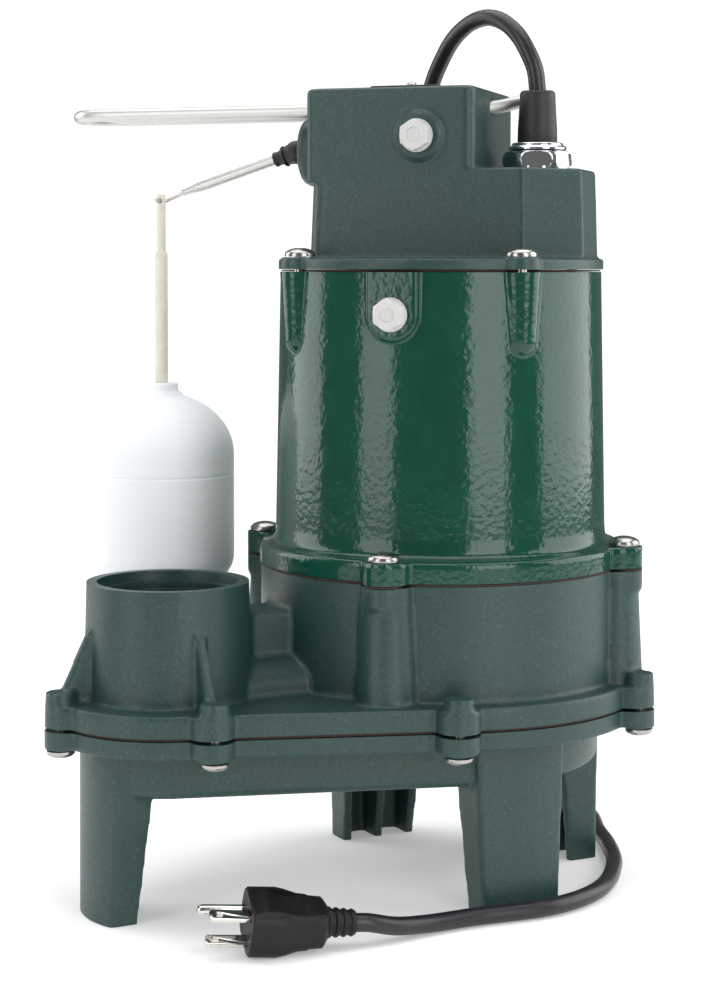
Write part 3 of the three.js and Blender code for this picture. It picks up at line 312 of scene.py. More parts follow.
def combined(piece, operation, shapes):
    """Joins or cuts a piece with shapes, one after another."""
    for shape in shapes:
        tool = object_of("tool", [shape])
        modifier = piece.modifiers.new("Step", "BOOLEAN")
        modifier.operation = operation
        modifier.solver = "MANIFOLD"
        modifier.object = tool
    applied(piece)
    for tool in [o for o in bpy.data.objects if o.name.startswith("tool")]:
        bpy.data.meshes.remove(tool.data)
    if len(piece.data.polygons) < 6:
        raise RuntimeError(f"{piece.name}: nothing is left after {operation}")
    return piece


def trimmed(piece, z0, z1, tools=()):
    """Cuts a skin on its true end planes, which keeps its end edges crisp, and then with the tools."""
    reach = 400
    ends = [box(-reach, reach, -reach, reach, z0 - 60, z0), box(-reach, reach, -reach, reach, z1, z1 + 60)]
    return combined(piece, "DIFFERENCE", [*ends, *tools])


def bevelled(piece, width, segments=3, angle=35):
    bevel = piece.modifiers.new("Edges", "BEVEL")
    bevel.width = width
    bevel.segments = segments
    bevel.limit_method = "ANGLE"
    bevel.angle_limit = math.radians(angle)
    return applied(piece)


def finished(piece, matrix, body, nodes, material, sharp=40):
    """Puts the mesh in place, gives it its finish, parents it to its body and hides the imported parts that it
    stands for.
    """
    piece.data.transform(matrix)
    piece.data.shade_smooth()
    piece.data.set_sharp_from_angle(angle=math.radians(sharp))
    piece.data.materials.clear()
    piece.data.materials.append(material)
    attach(piece, body)
    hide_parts(*nodes)
    return piece


# ---------- materials ----------
def finish(
    name,
    colour,
    roughness,
    metallic=0.0,
    mottle=0.12,
    mottle_size=5.0,
    grain=0.03,
    grain_size=0.6,
    peel=0.0,
    peel_size=2.0,
    speckle=None,
    bands=None,
    **sockets,
):
    """A finish with mottled colour, uneven gloss and a grained surface. Sizes are millimetres."""
    material = bpy.data.materials.get(name)
    if material:
        return material
    material = bpy.data.materials.new(name)
    material.use_nodes = True
    tree = material.node_tree
    nodes, links = tree.nodes, tree.links
    shader = nodes["Principled BSDF"]
    shader.inputs["Metallic"].default_value = metallic
    for socket, value in sockets.items():
        shader.inputs[socket.replace("_", " ")].default_value = value
    place = nodes.new("ShaderNodeTexCoord")
    mapping = nodes.new("ShaderNodeMapping")
    links.new(place.outputs["Object"], mapping.inputs["Vector"])

    def noise(size, detail=3.0, rough=0.55):
        node = nodes.new("ShaderNodeTexNoise")
        node.inputs["Scale"].default_value = 1 / (size * MM)
        node.inputs["Detail"].default_value = detail
        node.inputs["Roughness"].default_value = rough
        links.new(mapping.outputs["Vector"], node.inputs["Vector"])
        return node.outputs["Fac"]

    def mixed(factor, a, b):
        node = nodes.new("ShaderNodeMix")
        node.data_type = "RGBA"
        links.new(factor, node.inputs["Factor"])
        for socket, value in ((node.inputs[6], a), (node.inputs[7], b)):
            if isinstance(value, bpy.types.NodeSocket):
                links.new(value, socket)
            else:
                socket.default_value = (*value, 1.0)
        return node.outputs[2]

    def ranged(value, low, high, to_low, to_high):
        node = nodes.new("ShaderNodeMapRange")
        links.new(value, node.inputs["Value"])
        for socket, number in zip(("From Min", "From Max", "To Min", "To Max"), (low, high, to_low, to_high)):
            node.inputs[socket].default_value = number
        return node.outputs["Result"]

    darker = [max(0.0, c * (1 - mottle)) for c in colour]
    lighter = [min(1.0, c * (1 + mottle)) for c in colour]
    shade = mixed(ranged(noise(mottle_size, 5.0), 0.35, 0.65, 0, 1), darker, lighter)
    if speckle:
        dots, size, amount = speckle
        shade = mixed(ranged(noise(size, 1.0), 0.62, 0.72, 0, amount), shade, dots)
    if bands:
        dark, pitch, axis = bands
        wave = nodes.new("ShaderNodeTexWave")
        wave.bands_direction = axis
        wave.inputs["Scale"].default_value = 0.314 / (pitch * MM)
        wave.inputs["Distortion"].default_value = 0.6
        links.new(mapping.outputs["Vector"], wave.inputs["Vector"])
        shade = mixed(wave.outputs["Fac"], dark, shade)
    links.new(shade, shader.inputs["Base Color"])
    rough = ranged(noise(mottle_size * 0.4, 4.0), 0.3, 0.7, roughness * 0.82, roughness * 1.18)
    links.new(rough, shader.inputs["Roughness"])
    normal = None
    layers = [(grain, noise(grain_size, 2.0))]
    if peel:
        layers.append((peel, noise(peel_size, 1.0, 0.4)))
    if bands:
        layers.append((0.08, wave.outputs["Fac"]))
    for depth, height in layers:
        bump = nodes.new("ShaderNodeBump")
        bump.inputs["Strength"].default_value = 1.0
        bump.inputs["Distance"].default_value = depth * MM
        links.new(height, bump.inputs["Height"])
        if normal:
            links.new(normal, bump.inputs["Normal"])
        normal = bump.outputs["Normal"]
    links.new(normal, shader.inputs["Normal"])
    return material


def coloured(name):
    return list(getattr(bpy.context.scene.pump_colours, name))


def enamel():
    return finish(
        "green_enamel", coloured("enamel"), 0.13, mottle=0.10, mottle_size=14, grain=0.02, grain_size=0.9,
        peel=0.13, peel_size=2.6, IOR=1.5,
    )


def casing():
    return finish(
        "green_casing", coloured("casing"), 0.42, mottle=0.12, mottle_size=2.2, grain=0.05, grain_size=0.55,
        speckle=((0.09, 0.15, 0.14), 0.8, 0.4), IOR=1.5,
    )


def rubber():
    return finish("black_rubber", (0.012, 0.011, 0.013), 0.5, mottle_size=3, grain=0.03, grain_size=0.5)


def plug_rubber():
    return finish(
        "plug_rubber", (0.006, 0.0055, 0.0065), 0.42, mottle_size=3, grain=0.04, grain_size=0.5,
        Specular_IOR_Level=0.3,
    )


def cord_skin():
    return finish("cord_jacket", (0.014, 0.013, 0.017), 0.33, mottle_size=6, grain=0.02, grain_size=0.8)


def stainless():
    return finish(
        "stainless", (0.30, 0.29, 0.28), 0.28, metallic=1.0, mottle=0.05, grain=0.006, grain_size=0.25,
    )


def polished():
    return finish(
        "polished_steel", (0.42, 0.41, 0.39), 0.24, metallic=1.0, mottle=0.04, grain=0.004, grain_size=0.8
    )


def chrome():
    return finish("chrome", (0.62, 0.62, 0.63), 0.07, metallic=1.0, mottle=0.03, grain=0.003, grain_size=1.5)


def nylon():
    return finish(
        "white_nylon", (0.60, 0.60, 0.59), 0.42, mottle=0.03, grain=0.02, grain_size=0.7,
        Subsurface_Weight=0.15, Subsurface_Scale=0.002,
    )


def float_plastic():
    return finish(
        "float_plastic", (0.46, 0.46, 0.46), 0.45, mottle=0.04, mottle_size=3, grain=0.03, grain_size=0.8,
        peel=0.12, peel_size=4.0, speckle=((0.50, 0.50, 0.51), 0.7, 0.35),
    )


def ivory():
    return finish("ivory_plastic", (0.72, 0.69, 0.58), 0.42, mottle=0.04, grain=0.02, grain_size=0.6)


def gasket_board():
    return finish("gasket_board", (0.035, 0.018, 0.014), 0.8, mottle=0.3, mottle_size=1.0, grain=0.05)


# ---------- settings ----------
class PumpSizes(bpy.types.PropertyGroup):
    """Sizes that a user would change."""

    skin_voxel: FloatProperty(
        name="Skin voxel", description="Grid that the cast and moulded skins are made on, in mm", default=1.1,
        min=0.8, max=3.0,
    )
    fillet_steps: IntProperty(
        name="Fillet steps", description="Rounds of smoothing that make the fillets", default=4, min=0,
        max=20,
    )
    head_radius: FloatProperty(
        name="Screw head radius", description="Domed screw heads, in mm", default=7.0, min=2.0, max=12.0,
    )
    cord_radius: FloatProperty(
        name="Cord radius", description="Jacket of the mains cord", default=CORD_RADIUS * MM, min=0.002,
        max=0.006,
        subtype="DISTANCE", unit="LENGTH",
    )
    thread_pitch: FloatProperty(
        name="Thread pitch", description="Turns of the discharge thread, 11.5 to the inch, in mm",
        default=2.209,
        min=1.0, max=5.0,
    )
    relief_ribs: IntProperty(
        name="Relief ribs", description="Ribs on the plug's strain relief", default=4, min=1, max=8
    )


class PumpColours(bpy.types.PropertyGroup):
    """Colours that a user would change."""

    enamel: FloatVectorProperty(
        name="Enamel", description="Motor housing", subtype="COLOR", size=3, min=0, max=1,
        default=(0.004, 0.052, 0.033),
    )
    casing: FloatVectorProperty(
        name="Casing", description="Moulded base, case and cap", subtype="COLOR", size=3, min=0, max=1,
        default=(0.015, 0.047, 0.042),
    )


# ---------- stage and camera ----------
CAMERA_PLACE = (-0.4407, -0.8949, 0.2848)
CAMERA_TURN = (87.17, -0.06, -26.67)
CAMERA_LENS = 76.96
CAMERA_SHIFT = -0.13
FLOOR_RADIUS = 1.25
FLOOR_GLOW = 0.27


class PUMP_OT_stage(bpy.types.Operator):
    """Camera, floor and soft studio light"""

    bl_idname = "pump.stage"
    bl_label = "Stage"

    def execute(self, context):
        scene = context.scene
        camera = bpy.data.objects.new("Camera", bpy.data.cameras.new("Camera"))
        scene.collection.objects.link(camera)
        scene.camera = camera
        camera.location = CAMERA_PLACE
        camera.rotation_euler = [math.radians(a) for a in CAMERA_TURN]
        camera.data.lens = CAMERA_LENS
        camera.data.sensor_width = 36
        camera.data.shift_y = CAMERA_SHIFT
        camera.data.clip_start = 0.01
        camera.data.clip_end = 50

        floor = object_of("floor", [([(*p, 0.0) for p in disc(FLOOR_RADIUS, 128)], [tuple(range(128))])])
        floor.location.z = -0.0002
        paint = bpy.data.materials.new("pale_floor")
        paint.use_nodes = True
        shader = paint.node_tree.nodes["Principled BSDF"]
        shader.inputs["Base Color"].default_value = (0.86, 0.86, 0.86, 1)
        shader.inputs["Roughness"].default_value = 0.9
        shader.inputs["Specular IOR Level"].default_value = 0.1
        shader.inputs["Emission Color"].default_value = (1, 1, 1, 1)
        shader.inputs["Emission Strength"].default_value = FLOOR_GLOW
        floor.data.materials.append(paint)

        # Softboxes by their bearing from the pump, clockwise from the camera's side as seen from above.
        toward = math.radians(CAMERA_TURN[2] - 90)
        for name, bearing, centre_z, width, height, distance, radiance in (
            ("key_right", 32, 0.75, 0.80, 1.5, 1.6, 3.2),
            ("fill_left", -45, 0.75, 0.74, 1.5, 1.6, 2.6),
            ("rim_left", -110, 0.8, 1.1, 1.6, 1.6, 2.5),
            ("rim_right", 98, 0.8, 1.8, 1.6, 1.6, 2.6),
        ):
            angle = toward + math.radians(bearing)
            place = Vector((math.cos(angle), math.sin(angle), 0)) * distance + Vector((0, 0, centre_z))
            self.softbox(name, place, Vector((0, 0, centre_z * 0.6)), width, height, radiance)
        self.softbox("overhead", Vector((0.1, 0.2, 1.9)), Vector((0, 0, 0)), 2.2, 2.2, 2.3)

        world = bpy.data.worlds.new("World")
        scene.world = world
        world.use_nodes = True
        nodes, links = world.node_tree.nodes, world.node_tree.links
        ambient = nodes["Background"]
        ambient.inputs["Color"].default_value = (1.0, 1.0, 1.0, 1)
        ambient.inputs["Strength"].default_value = 0.15
        backdrop = nodes.new("ShaderNodeBackground")
        backdrop.inputs["Color"].default_value = (1, 1, 1, 1)
        backdrop.inputs["Strength"].default_value = 1.1
        rays = nodes.new("ShaderNodeLightPath")
        choice = nodes.new("ShaderNodeMixShader")
        links.new(rays.outputs["Is Camera Ray"], choice.inputs[0])
        links.new(ambient.outputs[0], choice.inputs[1])
        links.new(backdrop.outputs[0], choice.inputs[2])
        links.new(choice.outputs[0], nodes["World Output"].inputs["Surface"])
        scene.view_settings.view_transform = "Standard"
        return {"FINISHED"}

    def softbox(self, name, place, target, width, height, radiance):
        light = bpy.data.lights.new(name, "AREA")
        light.shape = "RECTANGLE"
        light.size = width
        light.size_y = height
        light.energy = radiance * math.pi * width * height
        lamp = bpy.data.objects.new(name, light)
        bpy.context.scene.collection.objects.link(lamp)
        lamp.location = place
        lamp.rotation_euler = (target - place).to_track_quat("-Z", "Y").to_euler()
        lamp.visible_camera = False


# ---------- plug's frame: X runs from its face to the tips of its prongs ----------
PLUG_FACE = (-134.2, -78.7, 14.1)
PLUG_YAW = 167.3
PLUG_PITCH = -4.6
PLUG_ROLL = -22.0
PLUG = Matrix.Translation(PLUG_FACE)
for turn, axis in ((PLUG_YAW, "Z"), (PLUG_PITCH, "Y"), (PLUG_ROLL, "X")):
    PLUG = PLUG @ Matrix.Rotation(math.radians(turn), 4, axis)
PLUG_LENGTH = 32.0
PLUG_RELIEF = 14.0

# ---------- cord: over the block, down behind the motor, a stored coil, then the plug ----------
RELIEF_TOP = 364.2
FLOOR_LINE = 4.1
UPPER_ROUTE = [
    (32.5, -32.5, RELIEF_TOP + 0.3),
    (31.5, -31.8, 374),
    (29.3, -27.9, 383.5),
    (27.2, -22.3, 391.3),
    (24.9, -14.4, 397.1),
    (22.5, -5.4, 399.9),
    (19.8, 6, 398.6),
    (17.9, 19.3, 392.4),
    (17.7, 31.7, 382.6),
    (18.6, 43.6, 370.7),
    (22, 62, 345),
    (29, 83, 305),
    (37, 102, 255),
    (44, 119, 200),
    (50, 134, 145),
    (55, 147, 95),
    (58, 156, 62),
    (59, 164, 41),
    (59.9, 173, 28),
    (60.6, 181, 21.3),
]
LOWER_ROUTE = [
    (155.6, 153.4, FLOOR_LINE),
    (147.5, 132, FLOOR_LINE),
    (139, 110, FLOOR_LINE),
    (129, 84, FLOOR_LINE),
    (114, 50, FLOOR_LINE),
    (105, 28, FLOOR_LINE),
    (95.8, 9.7, FLOOR_LINE),
    (84.6, -16.9, FLOOR_LINE),
    (68.3, -46.1, FLOOR_LINE),
    (39.6, -76.6, FLOOR_LINE),
    (9.6, -88.4, FLOOR_LINE),
    (-30.9, -86.5, FLOOR_LINE),
    (-54, -87.5, FLOOR_LINE + 0.5),
    (-71, -90, FLOOR_LINE + 2.6),
]
COIL_CENTRE = (112.0, 189.0)
COIL_RADIUS = 43.5
TURN_GAP = 7.8
COIL_START = 180.0
COIL_TOTAL = 2000


def eased(value, start, end):
    share = min(max((value - start) / (end - start), 0.0), 1.0)
    return share * share * (3 - 2 * share)


def coil_route():
    """Three turns inwards on top, then three outwards on the floor, wound clockwise."""
    route = []
    for turned_by in range(0, COIL_TOTAL + 1, 20):
        inwards = eased(turned_by, 290, 360) + eased(turned_by, 650, 720)
        outwards = eased(turned_by, 1280, 1350) + eased(turned_by, 1640, 1710)
        radius = COIL_RADIUS + TURN_GAP * (1 - inwards + outwards)
        height = FLOOR_LINE + (TURN_GAP + 0.05) * (1 - eased(turned_by, 985, 1080))
        height += 4.4 * (1 - eased(turned_by, 0, 40))
        route.append((*polar(radius, COIL_START - turned_by, *COIL_CENTRE), height))
    return route


class PUMP_OT_cord(bpy.types.Operator):
    """Mains cord: one line from the gland through the stored coil to the plug"""

    bl_idname = "pump.cord"
    bl_label = "Mains cord"

    def execute(self, context):
        ends = [PLUG @ Vector((-PLUG_LENGTH - PLUG_RELIEF - behind, 0, 0)) for behind in (6, 0.3)]
        path = smooth_path([*UPPER_ROUTE, *coil_route(), *LOWER_ROUTE, *ends], 3.0)
        line = bpy.data.curves.new("mains_cord", "CURVE")
        line.dimensions = "3D"
        line.bevel_depth = context.scene.pump_sizes.cord_radius
        line.bevel_resolution = 5
        line.use_fill_caps = True
        spline = line.splines.new("POLY")
        spline.points.add(len(path) - 1)
        for point, place in zip(spline.points, path):
            point.co = (*(PUMP @ place), 1)
        spline.use_smooth = True
        cord = bpy.data.objects.new("mains_cord", line)
        context.scene.collection.objects.link(cord)
        line.materials.append(cord_skin())
        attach(cord, "pump_body")
        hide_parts("cord_upper", "cord_lower", "cord_coil")
        return {"FINISHED"}


# ---------- base and case ----------
def footprint(main, hub, steps=72):
    half = 180 - math.degrees(math.acos((main - hub) / -HUB_X))
    outline = [polar(main, -half + 2 * half * i / steps) for i in range(steps + 1)]
    start, end = half, 360 - half
    return outline + [polar(hub, start + (end - start) * i / steps, HUB_X) for i in range(steps + 1)]


def leg(outer):
    """A leg that faces +X: a curved outer wall with three ribs behind it, narrower at the floor."""
    half = math.degrees(math.asin(LEG_WIDTH / 2 / outer))
    top = FLANGE_BOTTOM + 2

    def tapered(outline):
        rings = []
        for low, z in ((1 + SPARE / FLANGE_BOTTOM, -SPARE), (0.0, top)):
            rings.append(
                [(outer - (outer - x) * (1 - 0.35 * low), y * (1 - 0.14 * low), z) for x, y in outline]
            )
        return loft(rings)

    angles = [-half + 2 * half * i / 16 for i in range(17)]
    wall = [polar(outer, a) for a in angles] + [polar(outer - LEG_WALL, a) for a in reversed(angles)]
    shapes = [tapered(wall)]
    for side in (-1, 0, 1):
        y = side * (LEG_WIDTH - LEG_WALL) / 2
        x1 = math.sqrt(outer**2 - y**2) - LEG_WALL / 2
        x0 = outer - LEG_DEPTH
        y0, y1 = y - LEG_WALL / 2, y + LEG_WALL / 2
        shapes.append(tapered([(x0, y0), (x1, y0), (x1, y1), (x0, y1)]))
    return shapes


def boss_ears(z0, z1):
    """A low pad round each screw boss, as wide as the flange is deep."""
    shapes = []
    for x, y in BASE_SCREWS:
        centre = (HUB_X, 0) if x < -100 else (0, 0)
        inwards = Vector((centre[0] - x, centre[1] - y)).normalized() * 3
        shapes.append(rod(9.6, z0, z1, x + inwards.x, y + inwards.y))
    return shapes


class PUMP_OT_base(bpy.types.Operator):
    """Base: lower half of the volute with four ribbed feet"""

    bl_idname = "pump.base"
    bl_label = "Base"

    def execute(self, context):
        sizes = context.scene.pump_sizes
        shapes = [
            soft_prism(
                lambda i: footprint(CASE_FLANGE_RADIUS - 0.8 - i, HUB_FLANGE_RADIUS - 0.8 - i), FLANGE_BOTTOM,
                BASE_TOP + SPARE, 1.0
            ),
            soft_prism(
                lambda i: footprint(LEG_RADIUS - 4 - i, HUB_LEG_RADIUS - 4 - i), BOWL_BOTTOM,
                FLANGE_BOTTOM + 5, 4
            ),
            rod(INLET_RADIUS + 6, BOWL_BOTTOM - 4, BOWL_BOTTOM + 2),
            *boss_ears(FLANGE_BOTTOM + 0.4, BASE_TOP + SPARE),
            *[rod(7, BOSS_BOTTOM, BASE_TOP + SPARE, x, y) for x, y in BASE_SCREWS],
        ]
        for angle in (0, 90, 270):
            shapes += [turned(shape, angle) for shape in leg(LEG_RADIUS)]
        shapes += [turned(shape, 180, HUB_X) for shape in leg(HUB_LEG_RADIUS)]
        base = fused("base_casting", shapes, sizes.skin_voxel, sizes.fillet_steps)
        cuts = [
            prism(footprint(VOLUTE_RADIUS, BORE_RADIUS), BOWL_BOTTOM + 5, BASE_TOP + SPARE + 3),
            rod(INLET_RADIUS, BOWL_BOTTOM - 8, BOWL_BOTTOM + 8),
            *[rod(3, BOSS_BOTTOM - 3, BASE_TOP + 3, x, y, sides=24) for x, y in BASE_SCREWS],
        ]
        trimmed(base, 0.0, BASE_TOP, cuts)
        finished(base, PUMP, "pump_body", ["base"], casing())
        return {"FINISHED"}


def arch(half_width, top, bottom, x0, x1):
    rise = half_width * 0.55
    outline = [(-half_width, bottom), (half_width, bottom)]
    outline += [
        (half_width * math.cos(math.pi * i / 24), top - rise + rise * math.sin(math.pi * i / 24))
        for i in range(25)
    ]
    return loft([[(x, y, z) for y, z in outline] for x in (x0, x1)])


def gusset(angle):
    outline = [
        (HUB_RADIUS - 4, CASE_FLANGE_TOP - 2),
        (HUB_FLANGE_RADIUS + 1, CASE_FLANGE_TOP - 2),
        (HUB_FLANGE_RADIUS + 1, BOSS_TOP - 1),
        (HUB_RADIUS, BOSS_TOP + 29),
        (HUB_RADIUS - 4, BOSS_TOP + 29),
    ]
    shape = loft([[(x, y, z) for x, z in outline] for y in (2.2, -2.2)])
    return turned(shape, angle, HUB_X)


class PUMP_OT_case(bpy.types.Operator):
    """Pump case: upper half of the volute with the discharge hub"""

    bl_idname = "pump.case"
    bl_label = "Pump case"

    def execute(self, context):
        sizes = context.scene.pump_sizes
        shapes = [
            soft_prism(
                lambda i: footprint(CASE_FLANGE_RADIUS - i, HUB_FLANGE_RADIUS - i), CASE_BOTTOM - SPARE,
                CASE_FLANGE_TOP, 0, 0.8,
            ),
            lathe([
                (0, CASE_BOTTOM - SPARE), (CASE_RADIUS + 0.6, CASE_BOTTOM - SPARE),
                (CASE_RADIUS - 0.2, CASE_TOP + SPARE),
                (0, CASE_TOP + SPARE),
            ], 160),
            *boss_ears(CASE_BOTTOM - SPARE, CASE_FLANGE_TOP),
            *[rod(7, CASE_BOTTOM - SPARE, BOSS_TOP, x, y, 6.4) for x, y in BASE_SCREWS],
            *[
                rod(13.8, CASE_FLANGE_TOP - 2, CASE_TOP + SPARE, *polar(LUG_CIRCLE - 5, a), 11)
                for a in LUG_ANGLES
            ],
            *[rod(LUG_RADIUS, CASE_TOP - 9, CASE_TOP + SPARE, *polar(LUG_CIRCLE, a)) for a in LUG_ANGLES],
            rod(HUB_RADIUS + 1.8, CASE_BOTTOM - SPARE, HUB_TOP + SPARE, HUB_X, 0, HUB_RADIUS, sides=128),
            arch(27, 113, CASE_FLANGE_TOP - 2, HUB_X + 10, -CASE_RADIUS + 12),
            box(HUB_X + 20, -CASE_RADIUS + 8, -14, 14, CASE_FLANGE_TOP, 130),
            *[gusset(a) for a in (90, 180, 270)],
        ]
        case = fused("pump_case_moulding", shapes, sizes.skin_voxel, sizes.fillet_steps)
        mouth = lathe(
            [(0, HUB_TOP - 4.5), (31, HUB_TOP - 4.5), (31.6, HUB_TOP + SPARE), (0, HUB_TOP + SPARE)], 96
        )
        cuts = [
            rod(HUB_RADIUS + 4, HUB_TOP, HUB_TOP + 20, HUB_X, sides=64),
            rod(VOLUTE_RADIUS, CASE_BOTTOM - 6, 131, sides=128),
            rod(CASE_RADIUS - 7, 130, CASE_TOP + 6, sides=128),
            arch(21, 107, CASE_BOTTOM - 6, HUB_X, -VOLUTE_RADIUS + 12),
            rod(BORE_RADIUS + 0.5, CASE_BOTTOM - 6, HUB_TOP + 6, HUB_X, sides=96),
            moved(mouth, Matrix.Translation((HUB_X, 0, 0))),
            *[rod(3, CASE_BOTTOM - 6, BOSS_TOP - 3, x, y, sides=24) for x, y in BASE_SCREWS],
            *[rod(3, CASE_TOP - 22, CASE_TOP + 6, *polar(LUG_CIRCLE, a), sides=24) for a in LUG_ANGLES],
        ]
        trimmed(case, CASE_BOTTOM, CASE_TOP, cuts)
        finished(case, PUMP, "pump_body", ["pump_case"], casing())
        return {"FINISHED"}


# ---------- node trees ----------
def new_tree(name, inputs):
    tree = bpy.data.node_groups.new(name, "GeometryNodeTree")
    tree.interface.new_socket("Geometry", in_out="INPUT", socket_type="NodeSocketGeometry")
    for label, kind, value in inputs:
        socket = tree.interface.new_socket(label, in_out="INPUT", socket_type=kind)
        if value is not None:
            socket.default_value = value
    tree.interface.new_socket("Geometry", in_out="OUTPUT", socket_type="NodeSocketGeometry")
    start = tree.nodes.new("NodeGroupInput")
    end = tree.nodes.new("NodeGroupOutput")
    return tree, start, end


def node(tree, kind, links=(), **values):
    """Adds a node; values set its sockets or properties, links are (socket, source) pairs."""
    made = tree.nodes.new(kind)
    for key, value in values.items():
        if key in made.bl_rna.properties:
            setattr(made, key, value)
        else:
            made.inputs[key.replace("_", " ")].default_value = value
    for socket, source in links:
        tree.links.new(source, made.inputs[socket])
    return made


def arithmetic(tree, operation, a, b):
    made = tree.nodes.new("ShaderNodeMath")
    made.operation = operation
    for socket, value in ((made.inputs[0], a), (made.inputs[1], b)):
        if isinstance(value, (int, float)):
            socket.default_value = value
        else:
            tree.links.new(value, socket)
    return made.outputs[0]


def closing(tree, start, end, geometry):
    real = node(tree, "GeometryNodeRealizeInstances", [("Geometry", geometry)])
    dressed = node(
        tree, "GeometryNodeSetMaterial",
        [("Geometry", real.outputs[0]), ("Material", start.outputs["Material"])]
    )
    tree.links.new(dressed.outputs[0], end.inputs[0])
    return tree


def grown(name, carrier, tree, values):
    """Runs a node tree on a carrier shape and keeps the result as a plain mesh."""
    piece = object_of(name, [carrier])
    modifier = piece.modifiers.new("Build", "NODES")
    modifier.node_group = tree
    for item in tree.interface.items_tree:
        if item.item_type == "SOCKET" and item.in_out == "INPUT" and item.name in values:
            modifier[item.identifier] = values[item.name]
    return applied(piece)


def screw_tree():
    """A domed head with a round-bottomed socket and a plain shank at each carrier point."""
    name = "Domed screws"
    if name in bpy.data.node_groups:
        return bpy.data.node_groups[name]
    tree, start, end = new_tree(name, [
        ("Head radius", "NodeSocketFloat", 7.0),
        ("Head height", "NodeSocketFloat", 4.0),
        ("Shank radius", "NodeSocketFloat", 2.6),
        ("Shank length", "NodeSocketFloat", 20.0),
        ("Socket radius", "NodeSocketFloat", 1.8),
        ("Turn", "NodeSocketFloat", 0.0),
        ("Material", "NodeSocketMaterial", None),
    ])
    ball = node(
        tree, "GeometryNodeMeshUVSphere", [("Radius", start.outputs["Head radius"])], Segments=40, Rings=28
    )
    place = node(tree, "GeometryNodeInputPosition")
    parts = node(tree, "ShaderNodeSeparateXYZ", [(0, place.outputs[0])])
    x, y, z = parts.outputs
    rim = arithmetic(tree, "MULTIPLY", start.outputs["Head height"], 0.22)
    share = arithmetic(tree, "DIVIDE", z, start.outputs["Head radius"])
    crown = arithmetic(
        tree, "MULTIPLY", arithmetic(tree, "MAXIMUM", share, 0.0),
        arithmetic(tree, "MULTIPLY", start.outputs["Head height"], 0.78)
    )
    above = arithmetic(tree, "GREATER_THAN", share, -0.02)
    height = arithmetic(tree, "MULTIPLY", above, arithmetic(tree, "ADD", crown, rim))
    away = arithmetic(
        tree, "SQRT",
        arithmetic(tree, "ADD", arithmetic(tree, "MULTIPLY", x, x), arithmetic(tree, "MULTIPLY", y, y)), 0.0
    )
    inside = arithmetic(
        tree, "MULTIPLY", arithmetic(tree, "LESS_THAN", away, start.outputs["Socket radius"]), above
    )
    sunk = arithmetic(tree, "SUBTRACT", height, arithmetic(tree, "MULTIPLY", inside, 0.5))
    spot = node(tree, "ShaderNodeCombineXYZ", [("X", x), ("Y", y), ("Z", sunk)])
    head = node(
        tree, "GeometryNodeSetPosition", [("Geometry", ball.outputs[0]), ("Position", spot.outputs[0])]
    )
    shank = node(
        tree, "GeometryNodeMeshCylinder",
        [("Radius", start.outputs["Shank radius"]), ("Depth", start.outputs["Shank length"])], Vertices=24
    )
    half = arithmetic(tree, "MULTIPLY", start.outputs["Shank length"], -0.5)
    drop = node(tree, "ShaderNodeCombineXYZ", [("Z", arithmetic(tree, "ADD", half, 0.2))])
    lowered = node(
        tree, "GeometryNodeTransform", [("Geometry", shank.outputs[0]), ("Translation", drop.outputs[0])]
    )
    screw = node(tree, "GeometryNodeJoinGeometry")
    tree.links.new(head.outputs[0], screw.inputs[0])
    tree.links.new(lowered.outputs[0], screw.inputs[0])
    turn = node(tree, "ShaderNodeCombineXYZ", [("X", start.outputs["Turn"])])
    cloud = node(tree, "GeometryNodeMeshToPoints", [("Mesh", start.outputs["Geometry"])])
    rows = node(
        tree, "GeometryNodeInstanceOnPoints", [("Points", cloud.outputs[0]), ("Instance", screw.outputs[0])]
    )
    tree.links.new(turn.outputs[0], rows.inputs["Rotation"])
    return closing(tree, start, end, rows.outputs[0])


def thread_tree():
    """A V thread ridge that winds inside a bore."""
    tree, start, end = new_tree("Female thread", [
        ("Radius", "NodeSocketFloat", BORE_RADIUS),
        ("Pitch", "NodeSocketFloat", 2.209),
        ("Turns", "NodeSocketFloat", 9.0),
        ("Depth", "NodeSocketFloat", 1.3),
        ("Material", "NodeSocketMaterial", None),
    ])
    height = arithmetic(tree, "MULTIPLY", start.outputs["Pitch"], start.outputs["Turns"])
    spiral = node(tree, "GeometryNodeCurveSpiral", [
        ("Rotations", start.outputs["Turns"]), ("Start Radius", start.outputs["Radius"]),
        ("End Radius", start.outputs["Radius"]), ("Height", height),
    ], Resolution=72)
    section = node(
        tree, "GeometryNodeCurvePrimitiveCircle", [("Radius", start.outputs["Depth"])], Resolution=4
    )
    ridge = node(
        tree, "GeometryNodeCurveToMesh",
        [("Curve", spiral.outputs[0]), ("Profile Curve", section.outputs[0])], Fill_Caps=True
    )
    return closing(tree, start, end, ridge.outputs[0])


